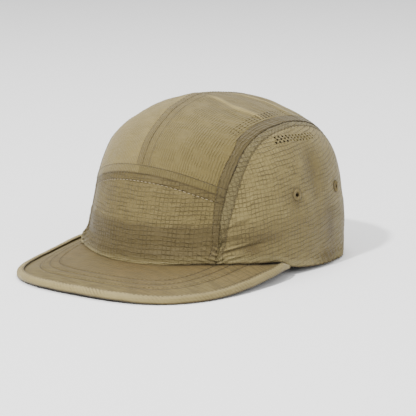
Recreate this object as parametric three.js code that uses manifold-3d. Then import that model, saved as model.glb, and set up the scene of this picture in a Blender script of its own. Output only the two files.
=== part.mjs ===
// Running cap: a five-panel crown of thin ripstop cloth with a nearly flat, bound brim.
// Millimetres, +Z up. The front is -Y and the wearer's left is +X.
// The origin is on the floor, under the middle of the cap's whole length and width.
import * as THREE from 'three';
import { mergeVertices } from 'three/addons/utils/BufferGeometryUtils.js';
import Module from 'manifold-3d';

const wasm = await Module();
wasm.setup();

// Cloth and gaps
const WALL = 1.2; // crown cloth
const HEM_WALL = 2.0; // crown cloth where its lower edge is folded
const GAP = 0.3; // clearance between pieces that are sewn together
const TAPE = 1.0; // seam tape
const SWEATBAND = 1.5;
const TAPE_INSET = WALL + GAP;
const BAND_INSET = TAPE_INSET + TAPE + GAP;

// Crown: one row for each height, with its reach to the front and the back and its half width
const CROWN = [
  { z: 0.0, front: 97.1, back: 96.9, half: 83.3 },
  { z: 25.1, front: 96.2, back: 98.9, half: 82.6 },
  { z: 49.4, front: 91.3, back: 97.7, half: 79.0 },
  { z: 71.6, front: 84.8, back: 92.0, half: 74.5 },
  { z: 90.6, front: 74.2, back: 76.3, half: 63.6 },
  { z: 104.4, front: 57.8, back: 54.0, half: 43.4 },
  { z: 112.8, front: 39.2, back: 29.7, half: 21.8 },
  { z: 117.0, front: 16.5, back: -16.5, half: 0.0 },
];
const APEX = CROWN.length - 1;
const PLAN_POWER = 2.15; // superellipse of each level section
const EGG = 0.09; // narrower at the front than at the back

// Brim
const BRIM_FRONT = 152.8; // reach to the front, from the crown's middle
const BRIM_HALF = 86.85;
const BRIM_SQUARE_Y = -52; // where the straight sides start to round towards the front
const BRIM_POWER = 2.9;
const BRIM_ROOT_Y = -23; // where the brim's ends meet the side of the crown
const BRIM_ROOT_HALF = 81.6;
const BRIM_PLATE = 1.8;
const BRIM_SWELL = 0.6; // how far its top stands above a straight slope
const BRIM_TUCK = 2.6; // how far the brim reaches under the crown's lower edge
const BRIM_EDGE = [
  // height of the top of the stiff plate at the brim's outer edge
  { y: -153, z: 4.3 },
  { y: -140, z: 3.1 },
  { y: -127, z: 3.05 },
  { y: -111, z: 3.2 },
  { y: -96, z: 3.9 },
  { y: -72, z: 5.6 },
  { y: -52, z: 7.5 },
  { y: -36, z: 8.8 },
  { y: -23, z: 7.6 },
];
const BRIM_ROOT = [
  // height of the plate's top where the crown stands on it
  { y: -97, z: 13.0 },
  { y: -90, z: 14.0 },
  { y: -78, z: 14.9 },
  { y: -62, z: 14.3 },
  { y: -51, z: 12.9 },
  { y: -40, z: 10.8 },
  { y: -31, z: 9.7 },
  { y: -22, z: 7.4 },
];
const EDGE_STEPS = 60; // points on each curve of its outline before they are spread evenly
const BRIM_ROOT_SHORT = 1.5; // its inner line stops this far before its ends

// Binding folded round the brim: its reach in from the edge, its cloth and the depth of its round nose
const BINDING = { top: 5.2, under: 6.0, cloth: 0.8, nose: 0.9 };
const PLATE_CLEAR = 0.4; // between the stiff plate and the binding
const BINDING_RISE = BINDING.cloth + PLATE_CLEAR;
const RIDE = { from: -55, over: 18 }; // the crown's lower edge rises over the binding's ends

// The middle of the crown stands behind the middle of the whole cap
const CROWN_BACK = 98.5; // reach of the gathered back
const CROWN_Y = (BRIM_FRONT - CROWN_BACK) / 2;

// Crown's lower edge behind the brim, from the brim's end down to the floor at the back
const HEM = [
  { y: -22, z: 8.9 },
  { y: -20, z: 6.0 },
  { y: -12, z: 4.3 },
  { y: -1, z: 3.2 },
  { y: 12, z: 2.0 },
  { y: 40, z: 0.9 },
  { y: 72, z: 0 },
];

// Seams
const ARCH = [
  // distance of the two arch seams from the middle, from the brim over the crown to the back
  { y: -76, half: 57.9 },
  { y: -73, half: 57.0 },
  { y: -70, half: 55.4 },
  { y: -66, half: 54.6 },
  { y: -60, half: 54.9 },
  { y: -52, half: 55.7 },
  { y: -40, half: 55.6 },
  { y: -20, half: 55.0 },
  { y: 0, half: 54.4 },
  { y: 20, half: 53.4 },
  { y: 40, half: 52.3 },
  { y: 60, half: 50.4 },
  { y: 80, half: 46.9 },
  { y: 100, half: 41.5 },
];
const FRONT_SEAM = { z: 71.4, drop: 11.6, at: 50, power: 2.2 }; // across the front, low at its ends
const FRONT_ONLY = -20; // the front seam lies before this y
const SEAM_END = 63; // half length of the curve of the front seam
const ARCH_TAPE = { inner: 4.2, outer: 4.3 };
const FRONT_TAPE_HALF = 5.0;
const CENTRE_TAPE_HALF = 5.0;
const SWEATBAND_TOP = 39.4;
const BAND_LIFT = 0.15; // its lower edge, as a share of the first step of the crown's rows

// Soft shape of the crown
const FLARE = { side: 4.4, middle: 1.6, high: 26.5, low: 18, angle: 50, spread: 22, end: 78, fade: 22 };
const GATHER = { depth: 0.9, waves: 8, from: 96, ease: 0.25, fade: 16 };
const DENT_EASE = 8; // dents fade out this far outside the arch seams
const DENTS = [
  // on both side panels: place, size and depth
  { y: 13, z: 66, long: 9, tall: 24, depth: 1.8 },
  { y: 30, z: 29, long: 14, tall: 14, depth: 1.4 },
  { y: -38, z: 24, long: 20, tall: 7, depth: 0.9 },
];

// Holes
const EYELET = { hole: 2.4, barrel: 2.0, ring: 4.0, bore: 1.2, proud: 0.9, dome: 0.2, slope: 0.4 };
const EYELETS = [
  { name: 'front', y: -8.8, z: 53.4 },
  { name: 'back', y: 42.4, z: 51.5 },
];
const PIERCE_RADIUS = 0.7;
const PIERCE_SIDES = 5;
const PIERCE_LENGTH = 8;
const SIDE_PIERCE = [
  // rows of holes on the side panels: height, first hole, pitch and number
  { z: 91.6, from: -12.6, pitch: 3.7, count: 6 },
  { z: 90.1, from: -11.8, pitch: 3.7, count: 6 },
  { z: 88.5, from: -14.3, pitch: 3.7, count: 6 },
];
const TOP_PIERCE = [
  // rows on the top panels: distance in from the arch seam, first hole, pitch and number
  { inside: 8.8, from: -36, pitch: 7.4, count: 7 },
  { inside: 11.2, from: -36, pitch: 7.4, count: 7 },
];

// Fineness
const FRONT_COLUMNS = 24;
const BACK_COLUMNS = 36;
const LOW_ROWS = 3; // from the crown's lower edge to the top of the sweatband
const HIGH_ROWS = 6; // from there to the top of the crown
const ROW_EASE = 0.2; // 0 for even steps of the high rows, 1 for the finest ones lowest
const LEVEL_ZONE = 10; // layers lie level with each other this near the crown's lower edge
const TAPE_FIRST_ROW = 2; // tapes end behind the sweatband
const BRIM_COLUMNS = 34;
const NOSE_STEPS = 3;
const EYELET_SIDES = 8;

const smooth = (t) => {
  const s = Math.min(Math.max(t, 0), 1);
  return s * s * (3 - 2 * s);
};
const bell = (t) => Math.exp(-t * t);
const powerOf = (value, power) => Math.sign(value) * Math.abs(value) ** power;
const lerp = (a, b, t) => a + (b - a) * t;

function catmull(a, b, c, d, t) {
  const square = (2 * a - 5 * b + 4 * c - d) * t * t;
  const cube = (3 * b - 3 * c + d - a) * t * t * t;
  return 0.5 * (2 * b + (c - a) * t + square + cube);
}

// A row past either end of the crown table: straight on below, mirrored through the apex above
function crownRowOf(index, key) {
  if (index < 0) return 2 * CROWN[0][key] - CROWN[1][key];
  if (index <= APEX) return CROWN[index][key];
  if (key === 'z') return CROWN[APEX - 1].z;
  return 2 * CROWN[APEX][key] - CROWN[APEX - 1][key];
}

// The crown's section at row number u, which runs from 0 at the floor to APEX at the top
function crownRow(u) {
  const index = Math.min(Math.floor(u), APEX - 1);
  const at = (key) => {
    const near = [-1, 0, 1, 2].map((step) => crownRowOf(index + step, key));
    return catmull(...near, u - index);
  };
  return { z: at('z'), front: at('front'), back: at('back'), half: at('half') };
}

function bisect(low, high, isLow) {
  for (let step = 0; step < 40; step += 1) {
    const middle = (low + high) / 2;
    if (isLow(middle)) low = middle;
    else high = middle;
  }
  return (low + high) / 2;
}

const rowAtHeight = (z) => bisect(0, APEX, (u) => crownRow(u).z < z);

// Cosine of the angle from the front at which row u passes the given y
function cosineAt(row, y) {
  const middle = (row.back - row.front) / 2;
  const reach = (row.back + row.front) / 2;
  return -powerOf((y - middle) / reach, PLAN_POWER / 2);
}

function halfAt(row, cosine) {
  const sine = Math.sqrt(Math.max(0, 1 - cosine * cosine));
  return row.half * sine ** (2 / PLAN_POWER) * (1 - EGG * cosine);
}

// Angle from the front, and row, of the crown at a place seen from the side or from above
function placeFromSide(side, y, z) {
  const u = rowAtHeight(z);
  return { angle: side * Math.acos(cosineAt(crownRow(u), y)), u };
}

const signOf = (x) => (x < 0 ? -1 : 1);
const angleOf = (row, y) => Math.acos(Math.min(1, Math.max(-1, cosineAt(row, y))));

function placeFromAbove(x, y) {
  const isInside = (u) => {
    const cosine = cosineAt(crownRow(u), y);
    return Math.abs(cosine) < 1 && halfAt(crownRow(u), cosine) > Math.abs(x);
  };
  const u = bisect(0, APEX, isInside);
  return { angle: signOf(x) * angleOf(crownRow(u), y), u };
}

function plainCrown(angle, u) {
  const row = crownRow(u);
  const middle = (row.back - row.front) / 2;
  const reach = (row.back + row.front) / 2;
  const x = row.half * powerOf(Math.sin(angle), 2 / PLAN_POWER) * (1 - EGG * Math.cos(angle));
  const y = middle - reach * powerOf(Math.cos(angle), 2 / PLAN_POWER);
  return new THREE.Vector3(x, y, row.z);
}

function crownNormal(angle, u) {
  const step = 0.01;
  const round = plainCrown(angle + step, u).sub(plainCrown(angle - step, u));
  const up = plainCrown(angle, Math.min(u + step, APEX)).sub(plainCrown(angle, Math.max(u - step, 0)));
  const normal = round.cross(up);
  return normal.length() < 1e-9 ? new THREE.Vector3(0, 0, 1) : normal.normalize();
}

// A smooth value at y from a table whose rows run from front to back
function tableValue(table, y, key = 'z') {
  const last = table.length - 1;
  const found = table.findIndex((row) => row.y > y);
  const index = found < 0 ? last - 1 : Math.max(found - 1, 0);
  const at = (step) => table[Math.min(Math.max(index + step, 0), last)];
  const t = Math.min(Math.max((y - at(0).y) / (at(1).y - at(0).y), 0), 1);
  return catmull(...[-1, 0, 1, 2].map((step) => at(step)[key]), t);
}

const archHalf = (y) => tableValue(ARCH, y, 'half');

// Height of the crown's lower edge: on the brim in front, and down to the floor behind it
function hemHeight(angle) {
  const { y } = plainCrown(angle, 0);
  const ride = BINDING_RISE * smooth((y - RIDE.from) / RIDE.over);
  if (y <= HEM[0].y) return tableValue(BRIM_ROOT, y) + GAP + ride;
  const next = HEM.findIndex((row) => row.y >= y);
  if (next < 0) return 0;
  const [a, b] = [HEM[next - 1], HEM[next]];
  return lerp(a.z, b.z, (y - a.y) / (b.y - a.y));
}

// Degrees from the front, the same on both sides
function degrees(angle) {
  return Math.abs(THREE.MathUtils.radToDeg(Math.atan2(Math.sin(angle), Math.cos(angle))));
}

// The front flares out onto the brim, and the hem at the back is drawn into shallow gathers
function softRelief(angle, point) {
  const turn = degrees(angle);
  const side = bell((turn - FLARE.angle) / FLARE.spread);
  const most = lerp(FLARE.middle, FLARE.side, side) * smooth((FLARE.end - turn) / FLARE.fade);
  const over = smooth((FLARE.high - point.z) / (FLARE.high - FLARE.low));
  const along = (turn - GATHER.from) / (180 - GATHER.from);
  const eased = smooth(along / GATHER.ease);
  const gather = Math.cos(along * GATHER.waves * Math.PI) * eased * bell(point.z / GATHER.fade);
  let relief = most * over - GATHER.depth * (0.5 - 0.5 * gather) * eased;
  const beside = smooth((Math.abs(point.x) - archHalf(point.y)) / DENT_EASE);
  for (const { y, z, long, tall, depth } of DENTS) {
    relief -= depth * beside * bell((point.y - y) / long) * bell((point.z - z) / tall);
  }
  return relief;
}

// A point of the crown, moved inwards by inset. Near the lower edge the move is level.
function crownPoint(angle, u, inset) {
  const point = plainCrown(angle, u);
  const normal = crownNormal(angle, u);
  normal.z *= smooth((point.z - hemHeight(angle)) / LEVEL_ZONE);
  normal.normalize();
  return point.addScaledVector(normal, softRelief(angle, point) - inset);
}

// Columns round the crown, finer at the back, with one at each end of the brim
const ROOT_ANGLE = Math.acos(cosineAt(crownRow(0), HEM[0].y));
const anglesBetween = (a, b, count) => Array.from({ length: count }, (_, i) => lerp(a, b, i / count));
const COLUMN_ANGLES = [
  ...anglesBetween(-ROOT_ANGLE, ROOT_ANGLE, FRONT_COLUMNS),
  ...anglesBetween(ROOT_ANGLE, 2 * Math.PI - ROOT_ANGLE, BACK_COLUMNS),
];

// Builds one closed body from corner points and four-sided faces
function bodyFrom(points, quads) {
  const geometry = new THREE.BufferGeometry();
  const corners = quads.flatMap(([a, b, c, d]) => [a, b, c, a, c, d]);
  geometry.setAttribute('position', new THREE.Float32BufferAttribute(points.flatMap((p) => p.toArray()), 3));
  geometry.setIndex(corners);
  return bodyOf(geometry);
}

function bodyOf(geometry) {
  geometry.deleteAttribute('normal');
  geometry.deleteAttribute('uv');
  const merged = mergeVertices(geometry, 1e-5);
  const kept = [];
  for (let i = 0; i < merged.index.count; i += 3) {
    const [a, b, c] = [0, 1, 2].map((k) => merged.index.getX(i + k));
    if (a !== b && b !== c && c !== a) kept.push(a, b, c);
  }
  const mesh = new wasm.Mesh({
    numProp: 3,
    vertProperties: new Float32Array(merged.attributes.position.array),
    triVerts: new Uint32Array(kept),
  });
  return new wasm.Manifold(mesh);
}

// A closed body between an outer and an inner grid of points. With wrap it closes round on itself.
function sheetBody(columns, rows, outer, inner, wrap = false) {
  const points = [];
  const across = wrap ? columns : columns + 1;
  for (const side of [outer, inner]) {
    for (let j = 0; j <= rows; j += 1) {
      for (let i = 0; i < across; i += 1) points.push(side(i, j));
    }
  }
  const out = (i, j) => j * across + (i % across);
  const back = (i, j) => (rows + 1) * across + out(i, j);
  const quads = [];
  for (let i = 0; i < columns; i += 1) {
    for (let j = 0; j < rows; j += 1) {
      quads.push([out(i, j), out(i + 1, j), out(i + 1, j + 1), out(i, j + 1)]);
      quads.push([back(i, j), back(i, j + 1), back(i + 1, j + 1), back(i + 1, j)]);
    }
    quads.push([back(i, 0), back(i + 1, 0), out(i + 1, 0), out(i, 0)]);
    quads.push([out(i, rows), out(i + 1, rows), back(i + 1, rows), back(i, rows)]);
  }
  for (let j = 0; j < rows && !wrap; j += 1) {
    quads.push([back(0, j), out(0, j), out(0, j + 1), back(0, j + 1)]);
    quads.push([out(columns, j), back(columns, j), back(columns, j + 1), out(columns, j + 1)]);
  }
  return bodyFrom(points, quads);
}

const LOW_EDGE = COLUMN_ANGLES.map((angle) => rowAtHeight(hemHeight(angle)));
const BAND_ROW = rowAtHeight(SWEATBAND_TOP);

// Row number in the crown table at step j of column i. All layers share these steps, so they nest.
function gridRow(i, j) {
  if (j <= LOW_ROWS) return lerp(LOW_EDGE[i], BAND_ROW, j / LOW_ROWS);
  const t = (j - LOW_ROWS) / HIGH_ROWS;
  return lerp(BAND_ROW, APEX, lerp(t, t * t, ROW_EASE));
}

// The crown's cloth, or a layer inside it, from a step of the grid to the top
function crownLayer(outerInset, innerInset, from) {
  const place = (inset) => (i, j) => crownPoint(COLUMN_ANGLES[i], gridRow(i, from + j), inset(i, from + j));
  const rows = LOW_ROWS + HIGH_ROWS - from;
  return sheetBody(COLUMN_ANGLES.length, rows, place(outerInset), place(innerInset), true);
}

const BIG = 300;

// An upright prism of an outline seen from above, past the crown on both sides
function prismFromAbove(outline) {
  const shape = new THREE.Shape(outline.map(([x, y]) => new THREE.Vector2(x, y)));
  const geometry = new THREE.ExtrudeGeometry(shape, { depth: 2 * BIG, bevelEnabled: false });
  return bodyOf(geometry.translate(0, 0, -BIG));
}

// A prism of an outline seen from the front, from before the cap to the given y
function prismFromFront(outline, toY) {
  const shape = new THREE.Shape(outline.map(([x, z]) => new THREE.Vector2(x, z)));
  const geometry = new THREE.ExtrudeGeometry(shape, { depth: BIG + toY, bevelEnabled: false });
  return bodyOf(geometry.rotateX(Math.PI / 2).translate(0, toY, 0));
}

function frontSeam(x) {
  return FRONT_SEAM.z - FRONT_SEAM.drop * (Math.abs(x) / FRONT_SEAM.at) ** FRONT_SEAM.power;
}

const SEAM_STEPS = Array.from({ length: 19 }, (_, i) => lerp(-SEAM_END, SEAM_END, i / 18));

// Everything between the arch seams, each moved out by grow
function betweenArches(grow) {
  const steps = [-BIG, ...ARCH.map((row) => row.y), BIG];
  const edge = steps.map((y) => [archHalf(y) + grow, y]);
  const other = edge.map(([x, y]) => [-x, y]).reverse();
  return prismFromAbove([...edge, ...other]);
}

// Everything in front that lies below the front seam moved up by rise
function belowFrontSeam(rise) {
  const top = SEAM_STEPS.map((x) => [x, frontSeam(x) + rise]);
  return prismFromFront([[-SEAM_END, -BIG], [SEAM_END, -BIG], ...top.reverse()], FRONT_ONLY);
}

// Everything past a plane at x = from, on one side
function onSide(side, from) {
  const [a, b] = side > 0 ? [from, BIG] : [-BIG, -from];
  return prismFromAbove([[a, -BIG], [b, -BIG], [b, BIG], [a, BIG]]);
}

// A small prism or washer standing on the crown at a place, along its outward normal
function standOnCrown(geometry, place) {
  const normal = crownNormal(place.angle, place.u);
  const point = crownPoint(place.angle, place.u, 0);
  geometry.applyQuaternion(new THREE.Quaternion().setFromUnitVectors(new THREE.Vector3(0, 1, 0), normal));
  return bodyOf(geometry.translate(point.x, point.y, point.z));
}

function pierce(body, places, radius, sides) {
  return places.reduce((cut, place) => {
    const drill = new THREE.CylinderGeometry(radius, radius, PIERCE_LENGTH, sides);
    return cut.subtract(standOnCrown(drill, place));
  }, body);
}

// Rows of ventilation holes
function holesIn(rows, placeOf) {
  const inRow = (row) => Array.from({ length: row.count }, (_, i) => placeOf(row, row.from + i * row.pitch));
  return rows.flatMap(inRow);
}

const sidePierces = (side) => holesIn(SIDE_PIERCE, (row, y) => placeFromSide(side, y, row.z));
const topPierces = (side) => holesIn(TOP_PIERCE, (row, y) => placeFromAbove(side * (archHalf(y) - row.inside), y));

function crownPanels() {
  const fold = (i, j) => (j === 0 && hemHeight(COLUMN_ANGLES[i]) === 0 ? HEM_WALL : WALL);
  const crown = crownLayer(() => 0, fold, 0);
  const middle = crown.intersect(betweenArches(-GAP / 2));
  const sides = crown.subtract(betweenArches(GAP / 2));
  const tops = middle.subtract(belowFrontSeam(GAP / 2));
  const panels = { front_panel: middle.intersect(belowFrontSeam(-GAP / 2)) };
  for (const [word, side] of [['left', 1], ['right', -1]]) {
    const eyelets = EYELETS.map(({ y, z }) => placeFromSide(side, y, z));
    const top = tops.intersect(onSide(side, GAP / 2));
    const whole = sides.intersect(onSide(side, 0));
    const flank = pierce(whole, sidePierces(side), PIERCE_RADIUS, PIERCE_SIDES);
    panels[`top_panel_${word}`] = pierce(top, topPierces(side), PIERCE_RADIUS, PIERCE_SIDES);
    panels[`side_panel_${word}`] = pierce(flank, eyelets, EYELET.hole, EYELET_SIDES);
  }
  return panels;
}

// Tapes sewn inside the crown over its seams, which show through the thin cloth
function seamTapes() {
  const layer = crownLayer(() => TAPE_INSET, () => TAPE_INSET + TAPE, TAPE_FIRST_ROW);
  const { inner, outer } = ARCH_TAPE;
  const arches = layer.intersect(betweenArches(outer)).subtract(betweenArches(-inner));
  const inside = layer.intersect(betweenArches(-inner - GAP));
  const across = belowFrontSeam(FRONT_TAPE_HALF).subtract(belowFrontSeam(-FRONT_TAPE_HALF));
  const centre = inside.intersect(onSide(1, -CENTRE_TAPE_HALF)).intersect(onSide(-1, -CENTRE_TAPE_HALF));
  return {
    seam_tape_left: arches.intersect(onSide(1, 0)),
    seam_tape_right: arches.intersect(onSide(-1, 0)),
    seam_tape_front: inside.intersect(across),
    seam_tape_centre: centre.subtract(belowFrontSeam(FRONT_TAPE_HALF + GAP)),
  };
}

// The sweatband starts a little above the crown's lower edge
function sweatband() {
  const at = (inset) => (i, j) => crownPoint(COLUMN_ANGLES[i], gridRow(i, Math.max(j, BAND_LIFT)), inset);
  return sheetBody(COLUMN_ANGLES.length, LOW_ROWS, at(BAND_INSET), at(BAND_INSET + SWEATBAND), true);
}

// Points spread evenly along a line of many points
function spread(points, count) {
  const path = new THREE.CurvePath();
  for (let i = 1; i < points.length; i += 1) path.add(new THREE.LineCurve(points[i - 1], points[i]));
  return Array.from({ length: count + 1 }, (_, i) => path.getPointAt(i / count));
}

// The brim's outer edge seen from above, from its right end round the front to its left end
function brimEdge() {
  const half = [];
  for (let i = 0; i < EDGE_STEPS; i += 1) {
    const y = lerp(BRIM_ROOT_Y, BRIM_SQUARE_Y, i / EDGE_STEPS);
    const t = (y - BRIM_SQUARE_Y) / (BRIM_ROOT_Y - BRIM_SQUARE_Y);
    half.push(new THREE.Vector2(lerp(BRIM_HALF, BRIM_ROOT_HALF, t * t), y));
  }
  for (let i = 0; i <= EDGE_STEPS; i += 1) {
    const turn = ((i / EDGE_STEPS) * Math.PI) / 2;
    const x = BRIM_HALF * Math.cos(turn) ** (2 / BRIM_POWER);
    const y = BRIM_SQUARE_Y - (BRIM_FRONT + BRIM_SQUARE_Y) * Math.sin(turn) ** (2 / BRIM_POWER);
    half.push(new THREE.Vector2(Math.abs(x), y));
  }
  const other = half.slice(0, -1).map((p) => new THREE.Vector2(-p.x, p.y));
  return spread([...other, ...half.reverse()], BRIM_COLUMNS);
}

// The crown's footprint where the brim is sewn on, from the right end to the left end
function brimRoot() {
  const last = Math.acos(cosineAt(crownRow(0), BRIM_ROOT_Y - BRIM_ROOT_SHORT));
  const points = Array.from({ length: EDGE_STEPS + 1 }, (_, i) => {
    const angle = lerp(-last, last, i / EDGE_STEPS);
    const point = crownPoint(angle, rowAtHeight(hemHeight(angle)), BRIM_TUCK);
    return new THREE.Vector2(point.x, point.y);
  });
  return spread(points, BRIM_COLUMNS);
}

const EDGE = brimEdge();
const ROOT = brimRoot();

// A point of the brim's top at station i, a number of millimetres in from its edge, raised by rise
function brimPoint(i, inwards, rise) {
  const across = inwards / EDGE[i].distanceTo(ROOT[i]);
  const flat = EDGE[i].clone().lerp(ROOT[i], across);
  const low = tableValue(BRIM_EDGE, EDGE[i].y);
  const high = tableValue(BRIM_ROOT, ROOT[i].y);
  const swell = BRIM_SWELL * Math.sin(Math.PI * Math.max(across, 0));
  return new THREE.Vector3(flat.x, flat.y, lerp(low, high, across) + swell + rise);
}

// The stiff plate, with a row of points just past the binding, a middle one and one at the crown
function brim() {
  const place = (drop) => (i, j) => {
    const width = EDGE[i].distanceTo(ROOT[i]);
    const first = BINDING.cloth + BINDING.nose + PLATE_CLEAR;
    const second = Math.min(BINDING.under + 2, width * 0.8);
    return brimPoint(i, [first, second, (second + width) / 2, width][j], -drop);
  };
  return sheetBody(BRIM_COLUMNS, 3, place(0), place(BRIM_PLATE));
}

// The bias binding folded round the brim's edge: a round-nosed channel with a flat flange on each side
function bindingProfile(cloth) {
  const top = BINDING_RISE - cloth;
  const under = -(BRIM_PLATE + BINDING_RISE) + cloth;
  const middle = (top + under) / 2;
  const radius = (top - under) / 2;
  const nose = Array.from({ length: NOSE_STEPS + 1 }, (_, k) => {
    const turn = Math.PI / 2 - (k * Math.PI) / NOSE_STEPS;
    return { inwards: cloth + BINDING.nose * (1 - Math.cos(turn)), rise: middle + radius * Math.sin(turn) };
  });
  return [{ inwards: BINDING.top, rise: top }, ...nose, { inwards: BINDING.under, rise: under }];
}

function brimBinding() {
  const skins = [bindingProfile(0), bindingProfile(BINDING.cloth)];
  const place = (skin) => (i, j) => {
    const { inwards, rise } = skins[skin][skins[skin].length - 1 - j];
    return brimPoint(i, Math.min(inwards, EDGE[i].distanceTo(ROOT[i]) - GAP), rise);
  };
  return sheetBody(BRIM_COLUMNS, skins[0].length - 1, place(0), place(1));
}

// A worked eyelet: a short barrel through the cloth with a raised ring outside
function eyelet(place) {
  const { bore, barrel, ring, proud, dome, slope } = EYELET;
  const outline = [
    [bore, -WALL - GAP],
    [barrel, -WALL - GAP],
    [barrel, GAP],
    [ring, GAP],
    [ring - slope, proud],
    [bore + slope, proud + dome],
    [bore, GAP],
    [bore, -WALL - GAP],
  ];
  const profile = outline.map(([radius, rise]) => new THREE.Vector2(radius, rise));
  return standOnCrown(new THREE.LatheGeometry(profile, EYELET_SIDES), place);
}

const CLOTH_COLOURS = {
  side: 0xa4976f,
  top: 0xa0926b,
  brim: 0x9a8b64,
  tape: 0x84764f,
  band: 0x7d7150,
  thread: 0x7c6f4d,
};

function clothMesh(name, body, colour, roughness = 0.75) {
  const { vertProperties, triVerts } = body.getMesh();
  const geometry = new THREE.BufferGeometry();
  geometry.setAttribute('position', new THREE.BufferAttribute(new Float32Array(vertProperties), 3));
  geometry.setIndex(new THREE.BufferAttribute(new Uint32Array(triVerts), 1));
  geometry.computeVertexNormals();
  const material = new THREE.MeshStandardMaterial({ color: colour, roughness, metalness: 0 });
  const mesh = new THREE.Mesh(geometry, material);
  mesh.name = name;
  mesh.position.y = CROWN_Y;
  return mesh;
}

const group = new THREE.Group();
for (const [name, body] of Object.entries(crownPanels())) {
  group.add(clothMesh(name, body, name.startsWith('side') ? CLOTH_COLOURS.side : CLOTH_COLOURS.top));
}
for (const [name, body] of Object.entries(seamTapes())) {
  group.add(clothMesh(name, body, CLOTH_COLOURS.tape));
}
group.add(clothMesh('sweatband', sweatband(), CLOTH_COLOURS.band, 0.9));
group.add(clothMesh('brim', brim(), CLOTH_COLOURS.brim));
group.add(clothMesh('brim_binding', brimBinding(), CLOTH_COLOURS.brim));
for (const [word, side] of [['left', 1], ['right', -1]]) {
  for (const { name, y, z } of EYELETS) {
    const body = eyelet(placeFromSide(side, y, z));
    group.add(clothMesh(`eyelet_${name}_${word}`, body, CLOTH_COLOURS.thread, 0.6));
  }
}

export default group;
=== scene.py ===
import math

import bpy
import numpy as np
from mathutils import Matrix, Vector
from mathutils.bvhtree import BVHTree


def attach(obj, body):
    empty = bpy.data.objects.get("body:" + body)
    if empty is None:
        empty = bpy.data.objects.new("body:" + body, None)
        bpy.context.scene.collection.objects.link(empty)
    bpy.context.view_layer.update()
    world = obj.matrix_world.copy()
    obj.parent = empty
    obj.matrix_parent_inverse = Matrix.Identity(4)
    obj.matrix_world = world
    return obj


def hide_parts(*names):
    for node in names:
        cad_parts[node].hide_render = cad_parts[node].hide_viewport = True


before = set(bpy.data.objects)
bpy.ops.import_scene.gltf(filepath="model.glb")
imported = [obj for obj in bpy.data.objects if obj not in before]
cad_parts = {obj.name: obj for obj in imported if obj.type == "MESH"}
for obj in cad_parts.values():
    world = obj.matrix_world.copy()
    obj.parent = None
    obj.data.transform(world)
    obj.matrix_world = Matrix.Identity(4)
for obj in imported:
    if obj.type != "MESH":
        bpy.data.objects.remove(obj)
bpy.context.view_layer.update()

# Running cap: five crown panels of thin ripstop cloth, a bound flat brim and a sweatband.
# Metres, +Z up. The front is -Y and the wearer's left is +X.

# Crown: a column for each height, with its reach to the front and the back and its half width
CROWN = {
    "z": [0.0, 0.0251, 0.0494, 0.0716, 0.0906, 0.1044, 0.1128, 0.1170],
    "front": [0.0971, 0.0962, 0.0913, 0.0848, 0.0742, 0.0578, 0.0392, 0.0165],
    "back": [0.0969, 0.0989, 0.0977, 0.0920, 0.0763, 0.0540, 0.0297, -0.0165],
    "half": [0.0833, 0.0826, 0.0790, 0.0745, 0.0636, 0.0434, 0.0218, 0.0],
}
APEX = len(CROWN["z"]) - 1
PLAN_POWER = 2.15
EGG = 0.09
CROWN_Y = 0.02715

# Brim
BRIM_FRONT = 0.1528
BRIM_HALF = 0.08685
BRIM_SQUARE_Y = -0.052
BRIM_POWER = 2.9
BRIM_ROOT_Y = -0.023
BRIM_ROOT_HALF = 0.0816
BRIM_PLATE = 0.0018
BRIM_SWELL = 0.0006
BRIM_TUCK = 0.0026
BRIM_ROOT_SHORT = 0.0015
BRIM_EDGE = {
    "y": [-0.153, -0.140, -0.127, -0.111, -0.096, -0.072, -0.052, -0.036, -0.023],
    "z": [0.0043, 0.0031, 0.00305, 0.0032, 0.0039, 0.0056, 0.0075, 0.0088, 0.0068],
}
BRIM_ROOT = {
    "y": [-0.097, -0.090, -0.078, -0.062, -0.051, -0.040, -0.031, -0.027, -0.022],
    "z": [0.0130, 0.0140, 0.0149, 0.0143, 0.0129, 0.0108, 0.0097, 0.0086, 0.0062],
}
BINDING_TOP = 0.0052
BINDING_UNDER = 0.0060
BINDING_CLOTH = 0.0008
BINDING_NOSE = 0.0013
BINDING_RISE = 0.0012
BINDING_STITCH = 0.0040
BRIM_STITCHES = [0.016, 0.0225, 0.029]
PLATE_START = 0.0024
RIGHT_LEVEL = 0.0062
RIGHT_RISE = 0.0019
BRIM_COLUMNS = 440
EDGE_STEPS = 60
PINCH_TO = 0.6
PINCH_FROM = -0.036
PINCH_OVER = 0.013

# Crown's lower edge behind the brim
HEM = {
    "y": [-0.022, -0.020, -0.012, -0.001, 0.012, 0.040, 0.072, 0.110],
    "z": [0.0070, 0.0060, 0.0043, 0.0032, 0.0020, 0.0009, 0.0003, 0.0003],
}
RIDE_FROM = -0.055
RIDE_OVER = 0.018

# Seams
ARCH = {
    "y": [-0.076, -0.073, -0.070, -0.066, -0.060, -0.052, -0.040]
    + [-0.020, 0.0, 0.020, 0.040, 0.060, 0.080, 0.100],
    "half": [0.0579, 0.0570, 0.0554, 0.0546, 0.0549, 0.0557, 0.0556]
    + [0.0550, 0.0544, 0.0534, 0.0523, 0.0504, 0.0469, 0.0415],
}
ARCH_HALF = 0.0545
SEAM_Z = 0.0714
SEAM_DROP = 0.0116
SEAM_AT = 0.050
SEAM_POWER = 2.2
SWEATBAND_TOP = 0.0394
ARCH_INNER = 0.0042
ARCH_INNER_HIGH = 0.0062
ARCH_OUTER = 0.0043
FRONT_BAND = 0.0055
CENTRE_X = -0.0006
CENTRE_HALF = 0.0023
CENTRE_TAPE = 0.0075
TAPE_FOOT = 0.026
TAPE_HALF = 0.005
ROW_INSET = 0.0004
ROW_HALF = 0.0005

# Layers, from the outside in
CLOTH = 0.0008
TAPE_INSET = 0.0015
TAPE = 0.0008
BAND_INSET = 0.0028
SWEATBAND = 0.0014
BAND_CLEAR = 0.0035
FLOOR_CLEAR = 0.0003

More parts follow.
